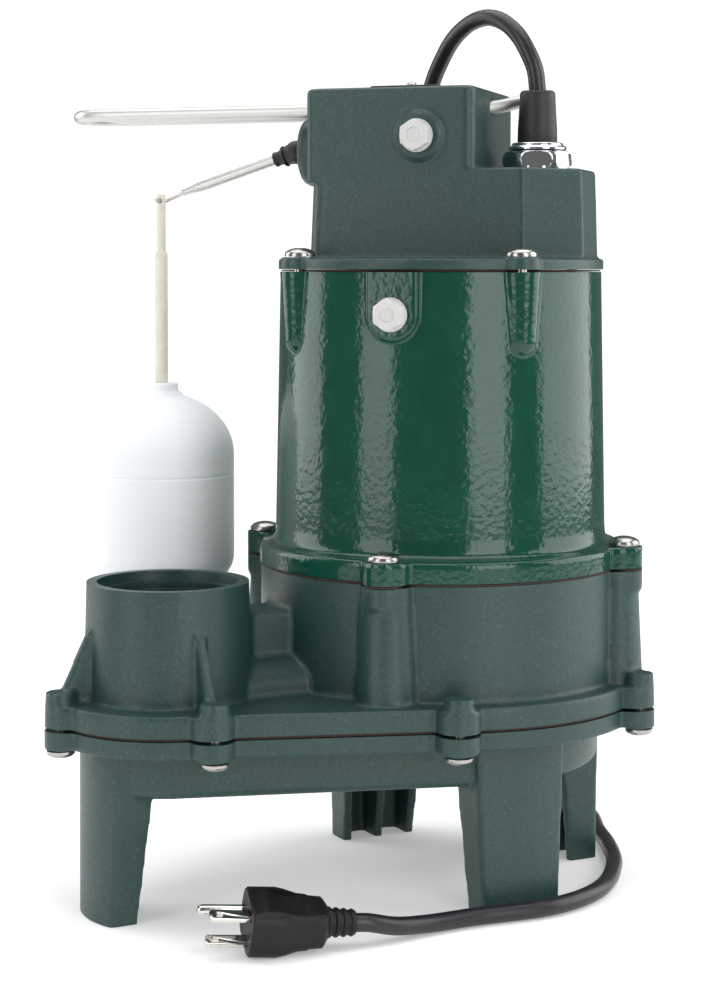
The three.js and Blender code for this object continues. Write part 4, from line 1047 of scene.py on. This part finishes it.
def rib_tree():
    """Rounded rings on a line of carrier points."""
    tree, start, end = new_tree("Relief ribs", [
        ("Ring radius", "NodeSocketFloat", 5.6),
        ("Rib radius", "NodeSocketFloat", 1.1),
        ("Material", "NodeSocketMaterial", None),
    ])
    circle = node(
        tree, "GeometryNodeCurvePrimitiveCircle", [("Radius", start.outputs["Ring radius"])], Resolution=48
    )
    section = node(
        tree, "GeometryNodeCurvePrimitiveCircle", [("Radius", start.outputs["Rib radius"])], Resolution=12
    )
    ring = node(
        tree, "GeometryNodeCurveToMesh", [("Curve", circle.outputs[0]), ("Profile Curve", section.outputs[0])]
    )
    stand = node(tree, "GeometryNodeTransform", [("Geometry", ring.outputs[0])])
    stand.inputs["Rotation"].default_value = (0, math.radians(90), 0)
    cloud = node(tree, "GeometryNodeMeshToPoints", [("Mesh", start.outputs["Geometry"])])
    size = node(tree, "GeometryNodeInputPosition")
    across = node(tree, "ShaderNodeSeparateXYZ", [(0, size.outputs[0])])
    behind = arithmetic(tree, "ADD", across.outputs[0], PLUG_LENGTH)
    narrower = arithmetic(tree, "ADD", 1.0, arithmetic(tree, "MULTIPLY", behind, 0.012))
    rows = node(
        tree, "GeometryNodeInstanceOnPoints",
        [("Points", cloud.outputs[0]), ("Instance", stand.outputs[0]), ("Scale", narrower)]
    )
    return closing(tree, start, end, rows.outputs[0])


class PUMP_OT_thread(bpy.types.Operator):
    """Thread turns inside the discharge hub"""

    bl_idname = "pump.thread"
    bl_label = "Discharge thread"

    def execute(self, context):
        pitch = context.scene.pump_sizes.thread_pitch
        turns = 11
        values = {"Pitch": pitch, "Turns": float(turns), "Radius": BORE_RADIUS + 0.9, "Material": casing()}
        thread = grown("discharge_thread", ([(0, 0, 0)], []), thread_tree(), values)
        lift = HUB_TOP - 5.6 - pitch * turns
        matrix = PUMP @ Matrix.Translation((HUB_X, 0, lift))
        finished(thread, matrix, "pump_body", [], casing())
        return {"FINISHED"}


class PUMP_OT_seals(bpy.types.Operator):
    """Sheet seals in the three parting lines"""

    bl_idname = "pump.seals"
    bl_label = "Seals"

    def execute(self, context):
        outline = footprint(CASE_FLANGE_RADIUS - 1.5, HUB_FLANGE_RADIUS - 1.5)
        base_seal = object_of("base_gasket", [prism(outline, SEAL_BOTTOM, SEAL_TOP)])
        combined(
            base_seal, "DIFFERENCE",
            [prism(footprint(VOLUTE_RADIUS + 3, BORE_RADIUS + 3), SEAL_BOTTOM - 1, SEAL_TOP + 1)]
        )
        finished(base_seal, PUMP, "pump_body", ["base_seal"], gasket_board())
        motor_seal = object_of("motor_gasket_sheet", [rod(84.0, GASKET_BOTTOM, GASKET_TOP, sides=160)])
        lugs = [rod(LUG_RADIUS - 0.1, GASKET_BOTTOM, GASKET_TOP, *polar(LUG_CIRCLE, a)) for a in LUG_ANGLES]
        combined(motor_seal, "UNION", lugs)
        combined(
            motor_seal, "DIFFERENCE", [rod(CASE_RADIUS - 4, GASKET_BOTTOM - 1, GASKET_TOP + 1, sides=128)]
        )
        finished(motor_seal, PUMP, "pump_body", ["motor_gasket"], gasket_board())
        cap_seal = object_of("cap_gasket", [rod(74.2, CAP_SEAL_TOP - 0.6, CAP_SEAL_TOP, sides=160)])
        combined(cap_seal, "DIFFERENCE", [rod(MOTOR_BORE - 1, CAP_SEAL_TOP - 2, CAP_SEAL_TOP + 1, sides=128)])
        finished(cap_seal, PUMP, "pump_body", ["cap_seal"], gasket_board())
        return {"FINISHED"}


# ---------- motor housing ----------
MOTOR_FOOT_RADIUS = 76.8
MOTOR_TOP_RADIUS = 74.6
MOTOR_PLUG_Z = 263.0
PAD_FACE = MOTOR_TOP_RADIUS + 3.4
PAD_BEARING = 225
WALL_FOOT = MOTOR_FLANGE_TOP + 8
BOSS_END = [(0, -5.5), (2.5, -5.0), (4.8, -3.6), (6.2, -1.8), (6.9, 0), (6.9, 1), (0, 1)]


def wall_radius(z):
    share = (z - WALL_FOOT) / (HOUSING_TOP - 0.8 - WALL_FOOT)
    return MOTOR_FOOT_RADIUS + (MOTOR_TOP_RADIUS - MOTOR_FOOT_RADIUS) * share


class PUMP_OT_housing(bpy.types.Operator):
    """Enamelled motor housing with its flange, lugs, screw bosses and plug pad"""

    bl_idname = "pump.housing"
    bl_label = "Motor housing"

    def execute(self, context):
        sizes = context.scene.pump_sizes
        flange = 84.3
        profile = [
            (0, HOUSING_BOTTOM - SPARE), (flange, HOUSING_BOTTOM - SPARE), (flange, MOTOR_FLANGE_TOP - 1.2),
            (flange - 1.2, MOTOR_FLANGE_TOP), (MOTOR_FOOT_RADIUS + 3, MOTOR_FLANGE_TOP + 0.6),
            (MOTOR_FOOT_RADIUS + 1.2, MOTOR_FLANGE_TOP + 2), (MOTOR_FOOT_RADIUS + 0.4, MOTOR_FLANGE_TOP + 4),
            (MOTOR_FOOT_RADIUS, WALL_FOOT), (MOTOR_TOP_RADIUS, HOUSING_TOP),
            (MOTOR_TOP_RADIUS, HOUSING_TOP + SPARE),
            (0, HOUSING_TOP + SPARE),
        ]
        pad_top = HOUSING_TOP + SPARE
        pad = [
            along_x(rod(11.7, 60, PAD_FACE, sides=96), z=MOTOR_PLUG_Z),
            box(60, PAD_FACE, -11.7, 11.7, MOTOR_PLUG_Z, pad_top)
        ]
        shapes = [
            lathe(profile, 220),
            *[
                rod(LUG_RADIUS, HOUSING_BOTTOM - SPARE, MOTOR_FLANGE_TOP + 0.6, *polar(LUG_CIRCLE, a))
                for a in LUG_ANGLES
            ],
            *[
                rod(10.5, HOUSING_BOTTOM - SPARE, MOTOR_FLANGE_TOP + 0.4, *polar(LUG_CIRCLE - 3.5, a))
                for a in LUG_ANGLES
            ],
            *[
                rod(6.9, HOUSING_TOP - 32, HOUSING_TOP + SPARE, *polar(CAP_SCREW_CIRCLE, a), 9.3)
                for a in CAP_SCREW_ANGLES
            ],
            *[
                moved(
                    lathe(BOSS_END, 48), Matrix.Translation((*polar(CAP_SCREW_CIRCLE, a), HOUSING_TOP - 32))
                )
                for a in CAP_SCREW_ANGLES
            ],
            *[turned(shape, PAD_BEARING) for shape in pad],
        ]
        housing = fused("motor_shell", shapes, sizes.skin_voxel * 0.8, sizes.fillet_steps)
        for vertex in housing.data.vertices:
            co = vertex.co
            if WALL_FOOT < co.z < HOUSING_TOP - 0.1:
                radius = math.hypot(co.x, co.y)
                target = wall_radius(co.z)
                weight = 1 - eased(abs(radius - target), 0.15, 0.5)
                scale = (radius + (target - radius) * weight) / radius
                co.x *= scale
                co.y *= scale
        plug_hole = turned(along_x(rod(4.4, 60, PAD_FACE + 2, sides=32), z=MOTOR_PLUG_Z), PAD_BEARING)
        cuts = [
            rod(MOTOR_BORE, HOUSING_BOTTOM - 6, HOUSING_TOP + 6, sides=128),
            plug_hole,
            *[
                rod(3, HOUSING_BOTTOM - 6, MOTOR_FLANGE_TOP + 3, *polar(LUG_CIRCLE, a), sides=24)
                for a in LUG_ANGLES
            ],
            *[
                rod(3, HOUSING_TOP - 18, HOUSING_TOP + 6, *polar(CAP_SCREW_CIRCLE, a), sides=24)
                for a in CAP_SCREW_ANGLES
            ],
        ]
        trimmed(housing, HOUSING_BOTTOM, HOUSING_TOP, cuts)
        finished(housing, PUMP, "pump_body", ["motor_housing"], enamel(), sharp=50)
        return {"FINISHED"}


# ---------- cap and switch block ----------
def cap_outline(inset):
    left, right, half = -52 + inset, 70 - inset, 36.5 - inset
    corner, nose, radius = 48 - inset * 0.5, 15 - inset * 0.3, 8.0
    outline = [(corner, -half), (right, -nose), (right, nose), (corner, half)]
    outline += [polar(radius, 90 + 90 * i / 8, left + radius, half - radius) for i in range(9)]
    outline += [polar(radius, 180 + 90 * i / 8, left + radius, -half + radius) for i in range(9)]
    return outline


HANDLE_ROD = 6.1
HANDLE_SPREAD = 15.0
HANDLE_Z = 356.3
HANDLE_TIP = -183.0


def handle_path():
    centre = HANDLE_TIP + HANDLE_SPREAD
    points = [
        (41, 14, HANDLE_Z + 5.2), (34, 6.5, HANDLE_Z + 3.2), (27, -1, HANDLE_Z + 1), (17, -8.5, HANDLE_Z)
    ]
    points += [(4, -14, HANDLE_Z)] + [(u, -HANDLE_SPREAD, HANDLE_Z) for u in (-14, -60, -110)]
    points += [(*polar(HANDLE_SPREAD, 270 - 22.5 * i, centre), HANDLE_Z) for i in range(9)]
    points += [(u, HANDLE_SPREAD, HANDLE_Z) for u in (-110, -60, 0, 15)]
    return smooth_path(points, 1.6)


class PUMP_OT_cap(bpy.types.Operator):
    """Top cap with the switch block and the switch boss"""

    bl_idname = "pump.cap"
    bl_label = "Top cap"

    def execute(self, context):
        sizes = context.scene.pump_sizes

        def block(inset):
            return rounded_box(-54.5 + inset, 25.3 - inset, -36.5 + inset, 36.5 - inset, 4.5)

        def lower(share, inset=0.0):
            return [
                (*p, CAP_FLANGE_TOP - 3 + (SHELF - CAP_FLANGE_TOP + 3) * share)
                for p in cap_outline(inset - 1.4 * (1 - share))
            ]

        lugs = [polar(CAP_SCREW_CIRCLE, a - BLOCK_TURN) for a in CAP_SCREW_ANGLES]
        boss = lathe([(0, -10), (16.8, -10), (16.8, 1), (16.3, 9), (14.8, 11.8), (0, 11.8)], 96)
        plug_boss = lathe([(0, -8), (11.4, -8), (11.4, 1.2), (9.9, 1.8), (9.9, 2.5), (0, 2.5)], 96)
        shapes = [
            soft_prism(lambda i: disc(75.5 - i, 180), CAP_BOTTOM - SPARE, CAP_FLANGE_TOP, 0, 0.8),
            *[rod(9.3, CAP_BOTTOM - SPARE, CAP_FLANGE_TOP + 0.6, x, y, 8.5) for x, y in lugs],
            loft([lower(0), lower(0.97), lower(0.99, 0.5), lower(1.0, 1.4)]),
            soft_prism(block, SHELF - 6, BLOCK_TOP, 0, 2.2),
            moved(
                boss, Matrix.Translation((-54.5, 0, PIVOT[2])) @ Matrix.Rotation(math.radians(-90), 4, "Y")
            ),
            moved(
                plug_boss, Matrix.Translation((0, -36.5, 342.6)) @ Matrix.Rotation(math.radians(90), 4, "X")
            ),
        ]
        cap = fused("cap_moulding", shapes, sizes.skin_voxel * 0.8, sizes.fillet_steps)
        passage = wire(handle_path(), HANDLE_ROD / 2 + 0.5)
        lever = lathe([(0, 0), (5.4, 0), (5.4, 30), (0, 30)], 48)
        stem = lathe([(0, 0), (4.4, 0), (4.4, 12), (0, 12)], 32)
        cuts = [
            prism(cap_outline(4), CAP_BOTTOM - 6, SHELF - 4),
            box(-50.5, 21.3, -32.5, 32.5, SHELF - 6, BLOCK_TOP - 4),
            moved(lever, Matrix.Translation((-45, 0, PIVOT[2])) @ Matrix.Rotation(math.radians(-90), 4, "Y")),
            moved(stem, Matrix.Translation((0, -31, 342.6)) @ Matrix.Rotation(math.radians(90), 4, "X")),
            rod(9.4, SHELF - 8, SHELF + 2, GLAND_U, 0, sides=48),
            passage,
            *[rod(3, CAP_BOTTOM - 6, CAP_FLANGE_TOP + 2, x, y, sides=24) for x, y in lugs],
        ]
        trimmed(cap, CAP_BOTTOM, BLOCK_TOP, cuts)
        finished(cap, BLOCK, "pump_body", ["top_cap"], casing())
        return {"FINISHED"}


class PUMP_OT_handle(bpy.types.Operator):
    """Carrying handle: a loop of stainless rod"""

    bl_idname = "pump.handle"
    bl_label = "Handle"

    def execute(self, context):
        handle = object_of("handle_rod", [wire(handle_path(), HANDLE_ROD / 2, 32, 1.0)])
        finished(handle, BLOCK, "pump_body", ["handle"], stainless(), sharp=60)
        return {"FINISHED"}


class PUMP_OT_top_plate(bpy.types.Operator):
    """Dark plate on the block's top, with its screw"""

    bl_idname = "pump.top_plate"
    bl_label = "Top plate"

    def execute(self, context):
        z0 = BLOCK_TOP + 0.3
        plate = object_of(
            "block_plate",
            [soft_prism(lambda i: rounded_box(-27 + i, 6 - i, -26 + i, -2 - i, 3 - i), z0, z0 + 1, 0, 0.4)]
        )
        finished(plate, BLOCK, "pump_body", ["top_plate"], rubber())
        values = {
            "Head radius": 2.5, "Head height": 2.0, "Shank radius": 1.1, "Shank length": 4.0,
            "Socket radius": 0.9, "Material": polished()
        }
        screw = grown("plate_screw", ([(-10, -14, z0 + 1.3)], []), screw_tree(), values)
        finished(screw, BLOCK, "pump_body", ["top_plate_screw"], polished())
        return {"FINISHED"}


class PUMP_OT_screws(bpy.types.Operator):
    """Domed screws of the cap, the motor flange and the base"""

    bl_idname = "pump.screws"
    bl_label = "Screws"

    def execute(self, context):
        radius = context.scene.pump_sizes.head_radius
        for name, places, z, values, nodes in (
            ("cap_screws", [polar(CAP_SCREW_CIRCLE, a) for a in CAP_SCREW_ANGLES], CAP_FLANGE_TOP + 0.9,
             {"Shank length": 20.0}, "cap_screw_"),
            ("flange_screws", [polar(LUG_CIRCLE, a) for a in LUG_ANGLES], MOTOR_FLANGE_TOP + 0.9,
             {"Shank length": 28.0}, "flange_screw_"),
            ("base_screws", BASE_SCREWS, BOSS_BOTTOM - 0.3,
             {
                 "Shank length": 21.0, "Head radius": radius - 0.8, "Head height": 3.4, "Turn": math.pi
             }, "base_screw_"),
        ):
            settings = {"Head radius": radius, "Head height": 4.0, "Material": polished(), **values}
            screws = grown(name, ([(x, y, z) for x, y in places], []), screw_tree(), settings)
            kept = [f"{nodes}{i + 1}" for i in range(len(places))]
            finished(screws, PUMP, "pump_body", kept, polished(), sharp=50)
        return {"FINISHED"}


class PUMP_OT_hex_plugs(bpy.types.Operator):
    """White hex-headed plugs of the motor and the switch block"""

    bl_idname = "pump.hex_plugs"
    bl_label = "Hex plugs"

    def execute(self, context):
        across = 12.6
        corner = across / 2 / math.cos(math.radians(30))
        for name, node_name, matrix in (
            ("motor_plug", "oil_plug",
             PUMP @ Matrix.Rotation(math.radians(PAD_BEARING), 4, "Z")
             @ Matrix.Translation((PAD_FACE + 0.3, 0, MOTOR_PLUG_Z))),
            ("block_plug", "switch_case_plug",
             BLOCK @ Matrix.Translation((0, -39.3, 342.6)) @ Matrix.Rotation(math.radians(-90), 4, "Z")),
        ):
            head = object_of(name, [prism(disc(corner, 6), 0.8, 6)])
            crown = lathe(
                [(0, 0.5), (across * 0.62, 0.5), (across * 0.62, 4.6), (across * 0.5, 6.0), (0, 6.0)], 64
            )
            combined(head, "INTERSECT", [crown])
            dimple = lathe([(0, 5.4), (3.2, 5.4), (3.6, 7), (0, 7)], 48)
            combined(head, "DIFFERENCE", [dimple])
            combined(head, "UNION", [rod(across / 2 + 1.2, 0, 1, sides=64), rod(4, -8, 0.6, sides=32)])
            bevelled(head, 0.25, 2)
            head.data.transform(Matrix.Rotation(math.radians(90), 4, "Y"))
            finished(head, matrix, "pump_body", [node_name], nylon(), sharp=30)
        return {"FINISHED"}


class PUMP_OT_gland(bpy.types.Operator):
    """Cord entry: chrome nut and collar under a rubber strain relief"""

    bl_idname = "pump.gland"
    bl_label = "Cord gland"

    def execute(self, context):
        z0 = SHELF + 0.3
        corner = 28.6 / 2 / math.cos(math.radians(30))
        nut = object_of("gland_hex", [turned(prism(disc(corner, 6), z0, z0 + 8.2), 12)])
        shape = lathe([
            (0, z0), (14.9, z0), (15.6, z0 + 1.6), (15.9, z0 + 3.4), (15.9, z0 + 5.2), (15.2, z0 + 7.2),
            (14.0, z0 + 8.2), (0, z0 + 8.2),
        ], 128)
        combined(nut, "INTERSECT", [shape])
        combined(nut, "UNION", [rod(14.9, z0, z0 + 1.2, sides=96), rod(9, SHELF - 9, z0 + 1, sides=48)])
        combined(nut, "DIFFERENCE", [rod(5.3, SHELF - 10, z0 + 9, sides=48)])
        bevelled(nut, 0.4, 3, 25)
        place = BLOCK @ Matrix.Translation((GLAND_U, 0, 0))
        finished(nut, place, "pump_body", ["gland_nut"], chrome(), sharp=50)
        z1 = z0 + 8.5
        collar_section = [
            (5.3, z1), (12.6, z1), (13.3, z1 + 0.5), (13.4, z1 + 1.3), (12.9, z1 + 2), (11.9, z1 + 2.3),
            (11.7, z1 + 3.2), (11.2, z1 + 3.6), (5.3, z1 + 3.6)
        ]
        collar = object_of("gland_ring", [lathe(collar_section, 96, ring=True)])
        finished(collar, place, "pump_body", ["gland_collar"], chrome(), sharp=40)
        z2 = z1 + 3.9
        section = [
            (4.3, z2), (8.7, z2), (9.1, z2 + 0.5), (9.0, z2 + 6), (8.5, z2 + 14), (8.1, RELIEF_TOP - 1.6),
            (7.8, RELIEF_TOP - 0.6), (7.1, RELIEF_TOP), (4.3, RELIEF_TOP)
        ]
        relief = object_of("cord_relief", [lathe(section, 96, ring=True)])
        finished(relief, place, "pump_body", ["strain_relief"], rubber(), sharp=50)
        return {"FINISHED"}


# ---------- float switch ----------
ARM_DROP = 17.8
HOOK = (-141.5, 315.5)
ARM = BLOCK @ Matrix.Translation(PIVOT) @ Matrix.Rotation(math.radians(-ARM_DROP), 4, "Y")


def arm_local(u, v, z):
    """A point of the block's frame in the arm's own frame, where the arm points along -X."""
    return Matrix.Rotation(math.radians(ARM_DROP), 4, "Y") @ Vector((u - PIVOT[0], v, z - PIVOT[2]))


class PUMP_OT_arm(bpy.types.Operator):
    """Switch arm: tube flattened at its end, with the wire hook, and the rubber boot"""

    bl_idname = "pump.arm"
    bl_label = "Switch arm"

    def execute(self, context):
        length, tube = 63.0, 4.8 / 2

        def section(share):
            flat = 0.7 * eased(share, 0.80, 0.95)
            tip = 1 - 0.45 * eased(share, 0.96, 1.0)
            return [(x * (1 + 0.25 * flat) * tip, y * (1 - 0.5 * flat) * tip) for x, y in disc(tube, 32)]

        barrel = sweep([(4 - (length + 4) * i / 60, 0, 0) for i in range(61)], section)
        tail = along_x(rod(1.5, -1, 29, sides=24))
        side = 2.2 + 0.9 + 1
        end = arm_local(
            PIVOT[0] - 60 * math.cos(math.radians(ARM_DROP)), 0,
            PIVOT[2] - 60 * math.sin(math.radians(ARM_DROP))
        )
        hook_u, hook_z = HOOK
        bends = [end] + [arm_local(*p) for p in (
            (hook_u + 12, 0.9, hook_z + 3.8), (hook_u + 6, side - 0.6, hook_z + 1.9),
            (hook_u + 2, side, hook_z + 0.5),
            (hook_u, side - 1.6, hook_z), (hook_u, 0, hook_z), (hook_u, -8, hook_z),
        )]
        hook = wire(smooth_path(bends, 0.8), 0.9, 20)
        arm = object_of("arm_tube", [barrel])
        combined(arm, "UNION", [tail, hook])
        finished(arm, ARM, "float_arm", ["switch_arm"], stainless(), sharp=50)
        ball = [(5.6 * math.sin(math.pi * i / 24), -5.6 * math.cos(math.pi * i / 24)) for i in range(25)]
        boot = object_of("boot_ball", [lathe(ball, 64)])
        neck = lathe(
            [
                (0, 2), (5.0, 2), (4.5, 5), (3.6, 7.5), (3.3, 9.5), (3.6, 10.2), (3.5, 11.2), (3.0, 11.5),
                (0, 11.5)
            ],
            64
        )
        bead = lathe([(0, 5.2), (4.9, 5.4), (5.1, 6.0), (4.7, 6.6), (0, 6.8)], 64)
        turn = Matrix.Rotation(math.radians(-90), 4, "Y")
        combined(boot, "UNION", [moved(neck, turn), moved(bead, turn)])
        combined(boot, "DIFFERENCE", [along_x(rod(tube + 0.3, -40, 40, sides=32))])
        finished(boot, ARM, "float_arm", ["arm_boot"], rubber(), sharp=50)
        return {"FINISHED"}


class PUMP_OT_float(bpy.types.Operator):
    """Float and its rod"""

    bl_idname = "pump.float"
    bl_label = "Float"

    def execute(self, context):
        place = BLOCK @ Matrix.Translation((HOOK[0], 0, 0))
        bottom, top, radius = 121.0, 223.0, 35.3
        foot, shoulder, seam = bottom + 22, top - 31, 183.0
        profile = [
            (radius * math.sin(math.radians(a)), foot - 22 * math.cos(math.radians(a)))
            for a in range(0, 91, 6)
        ]
        profile += [
            (radius, seam - 1.0), (radius - 0.25, seam - 0.5), (radius - 0.25, seam + 0.1),
            (radius, seam + 0.6)
        ]
        rise = top - 1 - shoulder
        profile += [
            (radius * math.cos(math.radians(a)), shoulder + rise * math.sin(math.radians(a)))
            for a in range(0, 73, 6)
        ]
        profile += [(9.4, top - 0.6), (8.4, top), (8, top + 1), (8, top + 3.4), (7.5, top + 4), (0, top + 4)]
        ball = object_of("float_ball", [lathe(profile, 128)])
        combined(ball, "DIFFERENCE", [rod(3.4, top - 26.3, top + 6, sides=32)])
        finished(ball, place, "float_assembly", ["float"], float_plastic(), sharp=15)
        rod_profile = [
            (0, top - 26), (3.1, top - 26), (3.1, 289.7), (2.9, 290.3), (2.2, 291.0), (2.2, 317.8),
            (1.9, 318.5), (1.4, 318.8), (0, 318.8),
        ]
        stem = object_of("float_stem", [lathe(rod_profile, 48)])
        hole = moved(
            rod(1.2, -6, 6, sides=24),
            Matrix.Translation((0, 0, HOOK[1])) @ Matrix.Rotation(math.radians(90), 4, "X")
        )
        combined(stem, "DIFFERENCE", [hole])
        finished(stem, place, "float_assembly", ["float_rod"], ivory(), sharp=35)
        return {"FINISHED"}


# ---------- plug ----------
class PUMP_OT_plug(bpy.types.Operator):
    """Three-prong plug with a ribbed strain relief"""

    bl_idname = "pump.plug"
    bl_label = "Plug"

    def execute(self, context):
        place = PUMP @ PLUG

        def ring(x, half_y, half_z, round_off):
            return [(x, a, b) for a, b in rounded_box(-half_y, half_y, -half_z, half_z, round_off)]

        stations = [
            (-34, 6.8, 6.4, 5.6), (-32.5, 8.9, 7.6, 5.2), (-31.5, 9.6, 8.1, 4.4), (-26, 9.9, 8.3, 4.2),
            (-25, 10.2, 8.6, 4.0),
            (-21, 10.6, 9.0, 4.4), (-16, 12.0, 10.2, 5.0), (-12, 12.9, 10.9, 5.6), (-6, 13, 11, 6.0),
            (-0.8, 13, 11, 6.0), (0, 12.4, 10.4, 5.5),
        ]
        body = object_of("plug", [loft([ring(*s) for s in stations])])
        core = along_x(rod(5.0, 0, 16, top=6.0, sides=48), x=-PLUG_LENGTH - PLUG_RELIEF)
        combined(body, "UNION", [core])
        grip = [
            moved(
                rod(30, -7, 7, sides=96),
                Matrix.Translation((-20, 0, side * 38.4)) @ Matrix.Rotation(math.radians(90), 4, "X")
            )
            for side in (-1, 1)
        ]
        combined(body, "DIFFERENCE", grip)
        slots = [box(-7, 1, 0.9, 8.1, z - 1.2, z + 1.2) for z in (-6.35, 6.35)]
        slots.append(along_x(rod(2.7, -7.4, 1, sides=24), y=-7.4))
        combined(body, "DIFFERENCE", slots)
        bevelled(body, 0.4, 2, 30)
        finished(body, place, "pump_body", ["plug_body"], plug_rubber(), sharp=45)
        count = context.scene.pump_sizes.relief_ribs
        spots = [(-PLUG_LENGTH - 2.6 - 3.3 * i, 0, 0) for i in range(count)]
        ribs = grown(
            "plug_ribs", (spots, []), rib_tree(),
            {"Ring radius": 5.5, "Rib radius": 1.25, "Material": plug_rubber()}
        )
        finished(ribs, place, "pump_body", [], plug_rubber(), sharp=60)
        blades = []
        for z in (-6.35, 6.35):
            blade = [(-7, 1.3), (15.4, 1.3), (17, 2.4), (17, 6.6), (15.4, 7.7), (-7, 7.7)]
            blades.append(moved(prism(blade, -0.75, 0.75), Matrix.Translation((0, 0, z))))
        prongs = object_of("plug_prongs", blades)
        combined(prongs, "DIFFERENCE", [rod(1.6, -12, 12, 13, 4.5, sides=32)])
        bevelled(prongs, 0.18, 2, 30)
        pin = lathe([(0, -7), (2.4, -7), (2.4, 17.2), (2.1, 18.6), (1.4, 19.6), (0, 20)], 32)
        combined(
            prongs, "UNION",
            [moved(pin, Matrix.Translation((0, -7.4, 0)) @ Matrix.Rotation(math.radians(90), 4, "Y"))]
        )
        nickel = finish(
            "nickel", (0.66, 0.63, 0.58), 0.22, metallic=1.0, mottle=0.08, mottle_size=2, grain=0.01,
            grain_size=0.3
        )
        finished(
            prongs, place, "pump_body", ["plug_blade_1", "plug_blade_2", "ground_pin"], nickel,
            sharp=35
        )
        return {"FINISHED"}


# ---------- inside ----------
class PUMP_OT_inside(bpy.types.Operator):
    """Finishes of the motor, the impeller and the switch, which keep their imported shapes"""

    bl_idname = "pump.inside"
    bl_label = "Inside parts"

    def execute(self, context):
        iron = finish(
            "cast_iron", (0.14, 0.14, 0.145), 0.55, metallic=0.85, mottle=0.2, mottle_size=3, grain=0.08,
            grain_size=0.9
        )
        steel = finish(
            "ground_steel", (0.52, 0.52, 0.53), 0.28, metallic=1.0, mottle=0.06, grain=0.01, grain_size=0.3
        )
        laminated = finish(
            "laminated_steel", (0.34, 0.34, 0.36), 0.42, metallic=1.0, mottle=0.08, grain=0.02,
            bands=((0.12, 0.12, 0.13), 0.65, "Z"),
        )
        copper = finish(
            "copper_winding", (0.60, 0.26, 0.11), 0.36, metallic=1.0, mottle=0.2, mottle_size=2, grain=0.05,
            bands=((0.22, 0.08, 0.03), 0.9, "Z"),
        )
        brass = finish(
            "brass", (0.66, 0.48, 0.20), 0.3, metallic=1.0, mottle=0.08, grain=0.015, grain_size=0.4
        )
        black = finish("black_plastic", (0.02, 0.02, 0.022), 0.45, mottle=0.1, grain=0.03, grain_size=0.5)
        for material, names in (
            (iron, ("seal_plate", "upper_bracket", "impeller")),
            (steel, ("lower_bearing", "upper_bearing", "shaft", "seal_ring")),
            (laminated, ("stator_core", "rotor")),
            (copper, ("lower_winding", "upper_winding")),
            (brass, ("impeller_nut", "seal_seat")),
            (black, ("thermal_protector", "microswitch")),
            (ivory(), ("switch_button",)),
        ):
            for name in names:
                part = frame["nodes"][name]
                for slot in part.material_slots:
                    slot.link = "OBJECT"
                    slot.material = material
        return {"FINISHED"}


# ---------- add-on ----------
STEPS = (
    PUMP_OT_stage,
    PUMP_OT_plug,
    PUMP_OT_cord,
    PUMP_OT_base,
    PUMP_OT_case,
    PUMP_OT_thread,
    PUMP_OT_seals,
    PUMP_OT_housing,
    PUMP_OT_cap,
    PUMP_OT_handle,
    PUMP_OT_top_plate,
    PUMP_OT_screws,
    PUMP_OT_hex_plugs,
    PUMP_OT_gland,
    PUMP_OT_arm,
    PUMP_OT_float,
    PUMP_OT_inside,
)


class PUMP_PT_panel(bpy.types.Panel):
    """Lists the settings and the steps"""

    bl_idname = "PUMP_PT_panel"
    bl_label = "Sump Pump"
    bl_space_type = "VIEW_3D"
    bl_region_type = "UI"
    bl_category = "Sump Pump"

    def draw(self, context):
        for group in (context.scene.pump_sizes, context.scene.pump_colours):
            for name in group.__annotations__:
                self.layout.prop(group, name)
        for step in STEPS:
            self.layout.operator(step.bl_idname)


CLASSES = (PumpSizes, PumpColours, *STEPS, PUMP_PT_panel)


def register():
    for item in CLASSES:
        bpy.utils.register_class(item)
    bpy.types.Scene.pump_sizes = PointerProperty(type=PumpSizes)
    bpy.types.Scene.pump_colours = PointerProperty(type=PumpColours)


def unregister():
    del bpy.types.Scene.pump_colours
    del bpy.types.Scene.pump_sizes
    for item in reversed(CLASSES):
        bpy.utils.unregister_class(item)


def main():
    register()
    for step in STEPS:
        group, name = step.bl_idname.split(".")
        getattr(getattr(bpy.ops, group), name)()
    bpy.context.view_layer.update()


if __name__ == "__main__":
    main()
